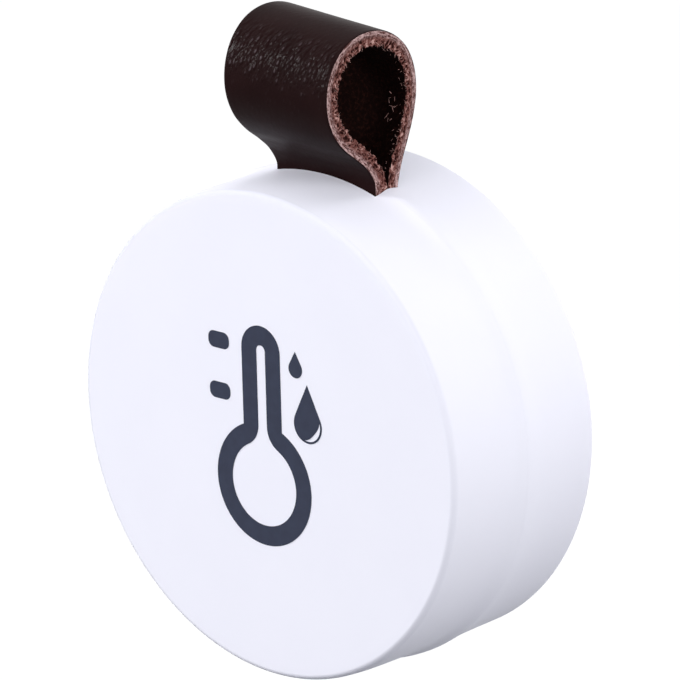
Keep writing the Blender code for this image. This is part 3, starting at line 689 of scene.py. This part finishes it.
def front_shell():
    """Cup with the face, its bosses and the tongue round its rim."""
    rim = PARTING_DEPTH - PARTING_GAP / 2
    tongue_end = PARTING_DEPTH + TONGUE_LENGTH
    wall = FRONT_WALL[0][0]
    corner = arc(wall - FACE_EDGE, FACE_EDGE, FACE_EDGE, -90, 0, 10)
    crest = arc(SEAM_RADIUS - SEAM_EDGE, rim - SEAM_EDGE, SEAM_EDGE, 0, 90, 30)
    profile = [
        (0, 0),
        (wall - 2 * FACE_EDGE, 0),
        *corner,
        *wall_line(FRONT_WALL, FACE_EDGE, BODY_DEPTH),
        *crest,
        (TONGUE_RADIUS, rim),
        (TONGUE_RADIUS, tongue_end),
        (INNER_RADIUS, tongue_end),
        (INNER_RADIUS, FACE_WALL + FACE_EDGE),
        (INNER_RADIUS - FACE_EDGE, FACE_WALL),
        (0, FACE_WALL),
    ]
    boss_end = BOARD_FRONT - CLEAR
    pin_boss_end = strap_front - CLEAR
    root = FACE_WALL / 2
    mesh = worked(turned_mesh("front_shell", profile, 256), [
        ("DIFFERENCE", {"slabs": [strap_slot]}),
        ("UNION", {"rods": [
            *[(x, z, BOSS_RADIUS, root, boss_end) for x, z in screw_places],
            *[(x, z, PIN_BOSS_RADIUS, root, pin_boss_end) for x, z in pin_places],
        ]}),
        ("DIFFERENCE", {"rods": [
            *[(x, z, screw_bore, boss_end - SCREW_GRIP, boss_end + CLEAR) for x, z in screw_places],
            *[(x, z, pin_bore, pin_boss_end - PIN_SEAT, pin_boss_end + CLEAR) for x, z in pin_places],
        ]}),
    ])
    return even(place("front_shell_moulding", mesh, "white_plastic", "front_shell"))


def rear_shell():
    """Deep ring with the back wall, the battery opening, screw pillars, bosses and the vent."""
    rim = PARTING_DEPTH + PARTING_GAP / 2
    rebate = TONGUE_RADIUS + CLEAR / 2
    rebate_end = PARTING_DEPTH + TONGUE_LENGTH + CLEAR
    opening = DOOR_PLUG_RADIUS + DOOR_CLEAR
    lip = DOOR_RADIUS + DOOR_CLEAR
    ledge = BODY_DEPTH - DOOR_FLANGE - DOOR_CLEAR
    wall_front = BODY_DEPTH - BACK_WALL
    wall = REAR_WALL[-1][0]
    crest = arc(SEAM_RADIUS - SEAM_EDGE, rim + SEAM_EDGE, SEAM_EDGE, -90, 0, 30)
    corner = arc(wall - BACK_EDGE, BODY_DEPTH - BACK_EDGE, BACK_EDGE, 0, 90, 10)
    profile = [
        (rebate, rim),
        *crest,
        *wall_line(REAR_WALL, rim + 2 * SEAM_EDGE, BODY_DEPTH - BACK_EDGE),
        *corner,
        (wall - 2 * BACK_EDGE, BODY_DEPTH),
        (lip + 2 * LIP_EDGE, BODY_DEPTH),
        (lip + LIP_EDGE, BODY_DEPTH),
        (lip, BODY_DEPTH - LIP_EDGE),
        (lip, ledge),
        (opening, ledge),
        (opening, wall_front),
        (INNER_RADIUS - BACK_EDGE, wall_front),
        (INNER_RADIUS, wall_front - BACK_EDGE),
        (INNER_RADIUS, rebate_end),
        (rebate, rebate_end),
    ]
    root = BODY_DEPTH - BACK_WALL / 2
    beyond = BODY_DEPTH + BACK_WALL
    pillar_front = BOARD_BACK + CLEAR
    pin_boss_front = strap_back + CLEAR
    pin_bottom = pin_boss_front + REAR_PIN_SEAT
    ear_front = BODY_DEPTH - EAR_THICKNESS
    ring = [on_circle(VENT_RING_RADIUS, 60 * i) for i in range(6)]
    vent_holes = [(VENT_PLACE[0] + x, VENT_PLACE[1] + z) for x, z in [(0, 0), *ring]]
    neck = EAR_RADIUS + DOOR_CLEAR
    mesh = worked(turned_mesh("rear_shell", profile, 256, ring=True), [
        ("DIFFERENCE", {"slabs": [strap_slot]}),
        ("UNION", {"rods": [
            *[(x, z, PILLAR_RADIUS, pillar_front, root) for x, z in screw_places],
            *[(x, z, PIN_BOSS_RADIUS, pin_boss_front, root) for x, z in pin_places],
            (*VENT_PLACE, CHIMNEY_RADIUS, CHIMNEY_FRONT, root),
            (0, EAR_HEIGHT, EAR_BOSS_RADIUS, root - EAR_BOSS_LENGTH, BODY_DEPTH - BACK_WALL / 4),
        ]}),
        ("DIFFERENCE", {"rods": [
            *[(x, z, HEAD_RADIUS + CLEAR, SEAT_DEPTH, beyond) for x, z in screw_places],
            *[(x, z, pin_bore, pin_boss_front - CLEAR, pin_bottom) for x, z in pin_places],
            (*VENT_PLACE, CHIMNEY_BORE, CHIMNEY_FRONT - CLEAR, wall_front),
            (0, EAR_HEIGHT, neck, ear_front - CLEAR, beyond),
        ]}),
        ("DIFFERENCE", {"rods": [
            *[(x, z, screw_bore, pillar_front - CLEAR, SEAT_DEPTH + CLEAR) for x, z in screw_places],
            *[(x, z, VENT_HOLE_RADIUS, wall_front - CLEAR, beyond) for x, z in vent_holes],
            (0, EAR_HEIGHT, screw_bore, ear_front - DOOR_SCREW_GRIP, ear_front),
        ]}),
        ("DIFFERENCE", {"slabs": [((-neck, neck), (ledge, beyond), (DOOR_PLUG_RADIUS, EAR_HEIGHT))]}),
    ])
    return even(place("rear_shell_moulding", mesh, "white_plastic", "rear_shell"))


def battery_door():
    """Round lid whose ear takes a screw and whose hook goes under the wall."""
    wall_front = BODY_DEPTH - BACK_WALL
    flange_front = BODY_DEPTH - DOOR_FLANGE
    profile = [
        (0, wall_front),
        (DOOR_PLUG_RADIUS, wall_front),
        (DOOR_PLUG_RADIUS, flange_front),
        (DOOR_RADIUS, flange_front),
        (DOOR_RADIUS, BODY_DEPTH - DOOR_EDGE),
        (DOOR_RADIUS - DOOR_EDGE, BODY_DEPTH),
        (DOOR_RADIUS - 3 * DOOR_EDGE, BODY_DEPTH),
        (0, BODY_DEPTH),
    ]
    ear_front = BODY_DEPTH - EAR_THICKNESS
    hook_back = wall_front - CLEAR
    hook_front = hook_back - HOOK_THICKNESS
    hook_sides = (-HOOK_WIDTH / 2, HOOK_WIDTH / 2)
    seat = BODY_DEPTH - DOOR_HEAD_HEIGHT - CLEAR
    beyond = BODY_DEPTH + BACK_WALL
    mesh = worked(turned_mesh("battery_door", profile, 192), [
        ("UNION", {"rods": [(0, EAR_HEIGHT, EAR_RADIUS, ear_front, BODY_DEPTH)]}),
        ("UNION", {"slabs": [((-EAR_RADIUS, EAR_RADIUS), (flange_front, BODY_DEPTH),
                              (DOOR_PLUG_RADIUS / 2, EAR_HEIGHT))]}),
        ("UNION", {"slabs": [(hook_sides, (hook_front, flange_front), HOOK_NECK)]}),
        ("UNION", {"slabs": [(hook_sides, (hook_front, hook_back), HOOK_TIP)]}),
        ("DIFFERENCE", {"rods": [(0, EAR_HEIGHT, DOOR_HEAD_RADIUS + CLEAR, seat, beyond)]}),
        ("DIFFERENCE", {"rods": [(0, EAR_HEIGHT, screw_bore, ear_front - CLEAR, seat + CLEAR)]}),
    ])
    return even(place("battery_door_moulding", mesh, "white_plastic", "battery_door"))


def screw(name, x, z, seat, head_radius, head_height, length):
    """Pan head screw with a cross recess and a coarse thread."""
    tip = seat - length
    head = seat + CLEAR
    top = head + head_height
    crown_round = head_height * HEAD_ROUND
    crown = arc(head_radius - crown_round, top - crown_round, crown_round, 0, 90, 15)
    thread = []
    turns = int((length - 2 * SHANK_RADIUS) / THREAD_PITCH)
    for i in range(turns):
        start = tip + SHANK_RADIUS + i * THREAD_PITCH
        thread += [(SHANK_RADIUS, start), (SHANK_RADIUS * THREAD_ROOT, start + THREAD_PITCH / 2)]
    profile = [
        (0, tip),
        (SHANK_RADIUS / 2, tip + SHANK_RADIUS / 2),
        *thread,
        (SHANK_RADIUS, tip + SHANK_RADIUS + turns * THREAD_PITCH),
        (SHANK_RADIUS, head),
        (head_radius, head),
        *crown,
        (0, top),
    ]
    reach = head_radius * RECESS_REACH
    half = RECESS_HALF_WIDTH
    recess = (top - RECESS_DEPTH, top + RECESS_DEPTH)
    mesh = worked(turned_mesh(name, profile, 48, x, z), [
        ("DIFFERENCE", {"slabs": [((x - reach, x + reach), recess, (z - half, z + half))]}),
        ("DIFFERENCE", {"slabs": [((x - half, x + half), recess, (z - reach, z + reach))]}),
    ])
    return place(name + "_turned", mesh, "screw_steel", name)


# Sign


def ink_field(name, outlines):
    """A crisp flat field of ink bounded by closed outlines of (x, z) points, holes among them."""
    curve = bpy.data.curves.new(name, "CURVE")
    curve.dimensions = "2D"
    curve.fill_mode = "BOTH"
    curve.extrude = INK_THICKNESS / 2
    for outline in outlines:
        spline = curve.splines.new("POLY")
        spline.points.add(len(outline) - 1)
        for point, (x, z) in zip(spline.points, outline):
            point.co = (x, z, 0, 1)
        spline.use_cyclic_u = True
    drawn = bpy.data.objects.new(name, curve)
    bpy.context.scene.collection.objects.link(drawn)
    bpy.context.view_layer.update()
    mesh = bpy.data.meshes.new_from_object(drawn.evaluated_get(bpy.context.evaluated_depsgraph_get()))
    bpy.data.objects.remove(drawn, do_unlink=True)
    lift = Matrix.Translation((SIGN_X, at(-INK_GAP - INK_THICKNESS / 2), 0))
    mesh.transform(lift @ Matrix.Rotation(math.radians(90), 4, "X"))
    return place(name + "_ink", mesh, "slate_ink", name)


def thermometer_outline():
    """Round bulb with a stem that ends in a half circle."""
    meet = math.degrees(math.acos(STEM_HALF_WIDTH / BULB_RADIUS))
    stem = arc(0, STEM_TOP_Z, STEM_HALF_WIDTH, 0, 180)
    bulb = arc(0, BULB_Z, BULB_RADIUS, 180 - meet, 360 + meet)
    return [*stem, *bulb]


def thermometer_slot():
    """Bore of the stem, which flares by a fillet on each side into the bore of the bulb."""
    drop = SLOT_FOOT_Z - BULB_Z
    fillet = (SLOT_HALF_WIDTH**2 + drop**2 - BULB_BORE**2) / (2 * (BULB_BORE - SLOT_HALF_WIDTH))
    centre = SLOT_HALF_WIDTH + fillet
    lean = math.degrees(math.atan2(drop, centre))
    top = arc(0, SLOT_TOP_Z, SLOT_HALF_WIDTH, 0, 180, 10)
    left = arc(-centre, SLOT_FOOT_Z, fillet, 0, -lean)
    bulb = arc(0, BULB_Z, BULB_BORE, 180 - lean, 360 + lean)
    right = arc(centre, SLOT_FOOT_Z, fillet, 180 + lean, 180)
    return [*top, *left, *bulb[1:-1], *right]


def dash_outline(z):
    """Short bar with rounded corners."""
    x_side = DASH_LENGTH / 2 - DASH_CORNER
    z_side = DASH_HEIGHT / 2 - DASH_CORNER
    corners = [(x_side, z_side), (-x_side, z_side), (-x_side, -z_side), (x_side, -z_side)]
    outline = []
    for quarter, (x, z_corner) in enumerate(corners):
        outline += arc(DASH_X + x, z + z_corner, DASH_CORNER, 90 * quarter, 90 * quarter + 90, 10)
    return outline


def drop_outline(x, z, radius, tip):
    """Round drop whose sides run straight from the circle to a tip above it."""
    lean = math.degrees(math.asin(radius / tip))
    return [(x, z + tip), *arc(x, z, radius, 180 - lean, 360 + lean, 5)]


def glint_outline(x, z, radius, tip):
    """Crescent just inside the lower right of a drop."""
    outer = radius - GLINT_INSET
    far = arc(x, z, outer, GLINT_START, GLINT_END, 4)
    steps = len(far) - 1
    near = []
    for i in range(steps - 1, 0, -1):
        share = i / steps
        angle = math.radians(GLINT_START + (GLINT_END - GLINT_START) * share)
        reach = outer - GLINT_WIDTH * math.sin(math.pi * share)
        near.append((x + reach * math.cos(angle), z + reach * math.sin(angle)))
    return [*far, *near]


# Strap


STRAP_SPACING = 0.00011
EDGE_STEPS = 18
EDGE_ROUND = 0.00010
EDGE_RELIEF = 0.00012
EDGE_MARGINS = (0.0, 0.00008, 0.00016, 0.00026, 0.0004, 0.0006, 0.0009, 0.0013)
WIDE_STEPS = 14
FLESH_RAG = 0.00026
FLESH_RAG_REACH = 0.0003
FLESH_RAG_START = 0.6
FLESH_NAP = 0.00004
SKIN_SWELL = 0.00002
SKIN_EDGE_DIP = 0.00006
SKIN_EDGE_REACH = 0.00012


def strap_line():
    """Middle line of the strap in (depth, height over the foot), and how far along each point is."""
    tail = [-STRAP_TAIL, -(STRAP_TAIL + ply_offset) / 2, -ply_offset]
    knots = [*[(-ply_offset, h) for h in tail], *LOOP_LINE, *[(ply_offset, h) for h in reversed(tail)]]
    return smooth_line(knots, STRAP_SPACING)


def strap_shares():
    """Shares of the strap's width from its right edge, closer together near both edges."""
    near = [margin / STRAP_WIDTH for margin in EDGE_MARGINS]
    wide = np.linspace(near[-1], 1 - near[-1], WIDE_STEPS).tolist()
    return [*near[:-1], *wide, *[1 - share for share in reversed(near[:-1])]]


def strap_ring():
    """Shares of the width from the right and of the thickness from the skin, round the section."""
    shares = strap_shares()
    depths = [i / EDGE_STEPS for i in range(1, EDGE_STEPS)]
    return [
        *[(share, 0.0, "skin") for share in shares],
        *[(1.0, depth, "left") for depth in depths],
        *[(share, 1.0, "flesh") for share in reversed(shares)],
        *[(0.0, depth, "right") for depth in reversed(depths)],
    ]


def widened(line, share):
    """The strap's middle line and its outward direction at a share of the width."""
    rise = np.clip(line[:, 1] / STRAP_THICKNESS, 0, 1)
    full = line * (1 + STRAP_FULLNESS * rise * share)[:, None]
    slope = np.gradient(full, axis=0)
    slope /= np.linalg.norm(slope, axis=1)[:, None]
    return full, slope, np.column_stack([-slope[:, 1], slope[:, 0]])


def edge_relief(s, depth, side):
    """How far the torn fibres of a cut edge stand out, from about -0.6 to 0.8."""
    seed = 3.7 if side == "left" else 0.0
    bend = 0.00035 * noise.noise(Vector((s * 900, depth * 900, seed + 20)))
    layer = noise.fractal(Vector((s * 1100, (depth + bend) * 5200, seed)), 0.9, 2.0, 3)
    strand = abs(noise.noise(Vector(((s - bend) * 2500, (depth + bend) * 3000, seed + 9))))
    hole = noise.noise(Vector((s * 1700, depth * 2000, seed + 31)))
    torn = min(1.0, max(0.0, (depth / STRAP_THICKNESS - 0.35) / 0.25))
    return (1 - torn) * 0.5 * layer + torn * (0.5 * hole + 0.6 * (0.5 - 2.6 * strand))


def surface_mesh(name, points, faces, masks):
    """A smooth closed mesh with attributes that say where its finish changes."""
    mesh = bpy.data.meshes.new(name)
    mesh.from_pydata(points, [], faces)
    work = bmesh.new()
    work.from_mesh(mesh)
    bmesh.ops.holes_fill(work, edges=[e for e in work.edges if e.is_boundary], sides=0)
    bmesh.ops.recalc_face_normals(work, faces=work.faces)
    work.to_mesh(mesh)
    work.free()
    for key, values in masks.items():
        values = np.array(values, np.float32)
        if values.ndim == 2:
            mesh.attributes.new(key, "FLOAT_VECTOR", "POINT").data.foreach_set("vector", values.ravel())
        else:
            mesh.attributes.new(key, "FLOAT", "POINT").data.foreach_set("value", values)
    mesh.shade_smooth()
    return mesh


def leather_strap():
    """Strip folded into a loop that is a little fuller at its left end, with rough cut edges."""
    line, stations = strap_line()
    count = len(line)
    ring = strap_ring()
    columns = {share: widened(line, share) for share in {share for share, _, _ in ring}}
    points = []
    masks = {"strip": [], "cut": [], "flesh": [], "relief": []}
    for share, through, side in ring:
        middle, _, outward = columns[share]
        x = STRAP_RIGHT - STRAP_WIDTH * share
        near = min(share, 1 - share) * STRAP_WIDTH
        sign = 1 if side == "right" else -1 if side == "left" else 0
        corner = side == "flesh" and near == 0
        for i, s in enumerate(stations.tolist()):
            push = relief = 0.0
            off = (0.5 - through) * STRAP_THICKNESS
            if sign or corner:
                relief = edge_relief(s, through * STRAP_THICKNESS, "left" if share == 1 else "right")
            if sign:
                lift = min(through, 1 - through) * STRAP_THICKNESS
                round_off = max(0.0, 1 - lift / EDGE_ROUND)
                push = EDGE_RELIEF * relief * (1 - round_off) - EDGE_ROUND * round_off**2
            if through > FLESH_RAG_START:
                ragged = noise.fractal(Vector((s * 1500, share * 9, 7.7)), 0.9, 2.0, 2)
                depth_share = (through - FLESH_RAG_START) / (1 - FLESH_RAG_START)
                off += FLESH_RAG * ragged * math.exp(-near / FLESH_RAG_REACH) * depth_share**2
            if side == "flesh":
                off -= FLESH_NAP * noise.fractal(Vector((s * 1900, x * 1900, 1.3)), 0.8, 2.0, 3)
            if side == "skin":
                swell = noise.noise(Vector((s * 260, x * 260, 4.2)))
                off += SKIN_SWELL * swell - SKIN_EDGE_DIP * math.exp(-near / SKIN_EDGE_REACH)
            depth, height = middle[i] + outward[i] * off
            points.append((x + push * sign, at(STRAP_DEPTH + depth), LOOP_FOOT + height))
            masks["strip"].append((s, x, through * STRAP_THICKNESS))
            masks["cut"].append(1.0 if sign or corner else 0.0)
            masks["flesh"].append(1.0 if side == "flesh" else 0.0)
            masks["relief"].append(relief)
    faces = []
    rounds = len(ring)
    for number in range(rounds):
        here, beside = number * count, (number + 1) % rounds * count
        faces += [(here + i, here + i + 1, beside + i + 1, beside + i) for i in range(count - 1)]
    mesh = surface_mesh("leather_strap", points, faces, masks)
    return place("leather_strap_strip", mesh, "brown_leather", "leather_strap")


FIBRE_BENDS = 6
FIBRE_LENGTHS = (0.00014, 0.00042)
FIBRE_RADII = (0.000016, 0.000034)
FIBRE_TAPER = 0.7
FIBRE_CURL = 1.1
FIBRE_ROOT = 0.00006
FIBRE_INSET = 0.0009
TUFT_FIBRES = 12
TUFT_DEPTH = 0.003
TUFT_HEIGHTS = (0.0058, 0.0092)
TUFT_INSETS = (0.0013, 0.0024)


def strap_fibres(count=330, seed=5):
    """Short curled fibres that stand out of the cut edges and the flesh side."""
    draw = random.Random(seed)
    line, stations = strap_line()
    above = [i for i in range(len(line)) if line[i, 1] > 0.0002]
    low, high = TUFT_HEIGHTS
    tuft = [i for i in above if line[i, 0] > TUFT_DEPTH and low < line[i, 1] < high]
    ends = {share: widened(line, share) for share in (0.0, 1.0)}
    points, faces = [], []
    masks = {"strip": [], "cut": [], "flesh": [], "relief": []}
    for number in range(count):
        right = draw.random() < 0.66
        i = draw.choice(above)
        through = 1.0 - 0.4 * draw.random() ** 2.0
        inset = 0.0 if draw.random() < 0.7 else draw.uniform(0.0, FIBRE_INSET)
        length = draw.uniform(*FIBRE_LENGTHS)
        thick = draw.uniform(*FIBRE_RADII)
        if draw.random() < 0.12:
            length *= 1.6
            thick *= 1.3
        if number < TUFT_FIBRES:
            right, inset = True, draw.uniform(*TUFT_INSETS)
            i = draw.choice(tuft)
            length *= 1.9
            thick *= 1.3
        if inset:
            through = 1.0
        full, slope, outward = ends[0.0 if right else 1.0]
        start = full[i] + outward[i] * (0.5 - through) * STRAP_THICKNESS
        x = STRAP_RIGHT - inset if right else strap_left + inset
        here = Vector((x, at(STRAP_DEPTH + start[0]), LOOP_FOOT + start[1]))
        out = Vector((1 if right else -1, 0, 0))
        inward = Vector((0, -outward[i][0], -outward[i][1]))
        run = Vector((0, slope[i][0], slope[i][1]))
        aim = out * draw.uniform(-0.2, 0.7) + inward * draw.uniform(0.1, 1.0)
        aim = (aim + run * draw.uniform(-1.0, 1.0)).normalized()
        turn = out * draw.uniform(-1, 1) + inward * draw.uniform(-0.6, 0.6) + run * draw.uniform(-1, 1)
        here = here - aim * FIBRE_ROOT
        rows = []
        for _ in range(FIBRE_BENDS + 1):
            rows.append(here.copy())
            aim = (aim + turn * (FIBRE_CURL / FIBRE_BENDS)).normalized()
            here = here + aim * (length / FIBRE_BENDS)
        base = len(points)
        for k, centre in enumerate(rows):
            ahead = rows[min(k + 1, FIBRE_BENDS)] - rows[max(k - 1, 0)]
            side = ahead.cross(Vector((0.3, 0.5, 0.8))).normalized()
            other = ahead.cross(side).normalized()
            radius = thick * (1 - FIBRE_TAPER * k / FIBRE_BENDS)
            for across, beyond in (on_circle(radius, angle) for angle in (0, 120, 240)):
                points.append(centre + side * across + other * beyond)
                masks["strip"].append((float(stations[i]) + k * 0.0001, x, 0.9 * STRAP_THICKNESS))
                masks["cut"].append(1.0)
                masks["flesh"].append(0.0)
                masks["relief"].append(0.62)
        for row in range(base, base + 3 * FIBRE_BENDS, 3):
            for c in range(3):
                n = (c + 1) % 3
                faces.append((row + c, row + n, row + 3 + n, row + 3 + c))
    return place("strap_fibres", surface_mesh("strap_fibres", points, faces, masks), "brown_leather")


# Studio


def facing(azimuth, elevation):
    """Direction from the object towards a camera or lamp, from degrees."""
    a, e = math.radians(azimuth), math.radians(elevation)
    return Vector((math.sin(a) * math.cos(e), -math.cos(a) * math.cos(e), math.sin(e)))


def camera():
    """Camera at the photograph's place and angle."""
    azimuth, roll = math.radians(CAMERA_AZIMUTH), math.radians(CAMERA_ROLL)
    back = facing(CAMERA_AZIMUTH, CAMERA_ELEVATION)
    level = Vector((math.cos(azimuth), math.sin(azimuth), 0))
    upright = back.cross(level)
    right = level * math.cos(roll) + upright * math.sin(roll)
    up = upright * math.cos(roll) - level * math.sin(roll)
    data = bpy.data.cameras.new("camera")
    data.sensor_width = SENSOR_WIDTH
    data.lens = CAMERA_FOCAL * SENSOR_WIDTH
    data.clip_start = 0.01
    data.clip_end = 20
    made = bpy.data.objects.new("camera", data)
    bpy.context.scene.collection.objects.link(made)
    spot = back * CAMERA_DISTANCE + right * CAMERA_SHIFT[0] + up * CAMERA_SHIFT[1]
    turn = Matrix((right, up, back)).transposed().to_4x4()
    made.matrix_world = Matrix.Translation(spot + Vector((0, at(0), 0))) @ turn
    bpy.context.scene.camera = made


def lamp(name, azimuth, elevation, size, power):
    """A soft square lamp that faces the middle of the object."""
    towards = facing(azimuth, elevation)
    data = bpy.data.lights.new(name, "AREA")
    data.shape = "RECTANGLE"
    data.size, data.size_y = size
    data.energy = power
    made = bpy.data.objects.new(name, data)
    bpy.context.scene.collection.objects.link(made)
    made.location = Vector((0, at(BODY_DEPTH / 2), 0)) + towards * LAMP_DISTANCE
    made.rotation_mode = "QUATERNION"
    made.rotation_quaternion = towards.to_track_quat("Z", "Y")


def studio():
    """Pale floor, white background and soft lamps."""
    world = bpy.data.worlds.new("studio")
    world.use_nodes = True
    bpy.context.scene.world = world
    sky = Nodes(world.node_tree)
    light = world.node_tree.nodes["Background"]
    sky.set(light, "Color", (*WORLD_COLOUR, 1))
    sky.set(light, "Strength", WORLD_LEVEL)
    white = sky.node("ShaderNodeBackground", inputs={"Color": (1, 1, 1, 1)})
    sky.show_as(Wire(sky, light.outputs[0]), white, "World Output")

    cover = Finish("floor", FLOOR_COLOUR, 1.0, specular=0.0)
    lit = Wire(cover, cover.shader.outputs[0])
    lift = cover.node("ShaderNodeEmission", inputs={"Strength": 1.0})
    cover.show_as(lit, cover.node("ShaderNodeAddShader", inputs={0: lit, 1: lift}), "Material Output")

    mesh = bpy.data.meshes.new("floor")
    height = -CREST_RADIUS - FLOOR_BELOW
    corners = [(x * FLOOR_HALF_WIDTH, y * FLOOR_HALF_WIDTH, height)
               for x, y in ((-1, -1), (1, -1), (1, 1), (-1, 1))]
    mesh.from_pydata(corners, [], [(0, 1, 2, 3)])
    mesh.materials.append(cover.material)
    floor = bpy.data.objects.new("floor", mesh)
    bpy.context.scene.collection.objects.link(floor)

    for settings in LAMPS:
        lamp(*settings)


# Assembly

for name, node in frame["nodes"].items():
    for spot in node.material_slots:
        spot.material = finishes[slots[name]].material

camera()
studio()
front_shell()
rear_shell()
battery_door()
for number, (screw_x, screw_z) in enumerate(screw_places, start=1):
    length = SEAT_DEPTH - (BOARD_FRONT - CLEAR - SCREW_GRIP)
    screw(f"casing_screw_{number}", screw_x, screw_z, SEAT_DEPTH, HEAD_RADIUS, HEAD_HEIGHT, length)
door_seat = BODY_DEPTH - DOOR_HEAD_HEIGHT - 2 * CLEAR
door_screw_length = door_seat - (BODY_DEPTH - EAR_THICKNESS) + DOOR_SCREW_GRIP
screw("door_screw", 0, EAR_HEIGHT, door_seat, DOOR_HEAD_RADIUS, DOOR_HEAD_HEIGHT, door_screw_length)
ink_field("sign_thermometer", [thermometer_outline(), thermometer_slot()])
ink_field("sign_upper_dash", [dash_outline(UPPER_DASH_Z)])
ink_field("sign_lower_dash", [dash_outline(LOWER_DASH_Z)])
ink_field("sign_small_drop", [drop_outline(*SMALL_DROP)])
ink_field("sign_large_drop", [drop_outline(*LARGE_DROP), glint_outline(*LARGE_DROP)])
leather_strap()
strap_fibres()

scene = bpy.context.scene
scene.view_settings.view_transform = "Standard"
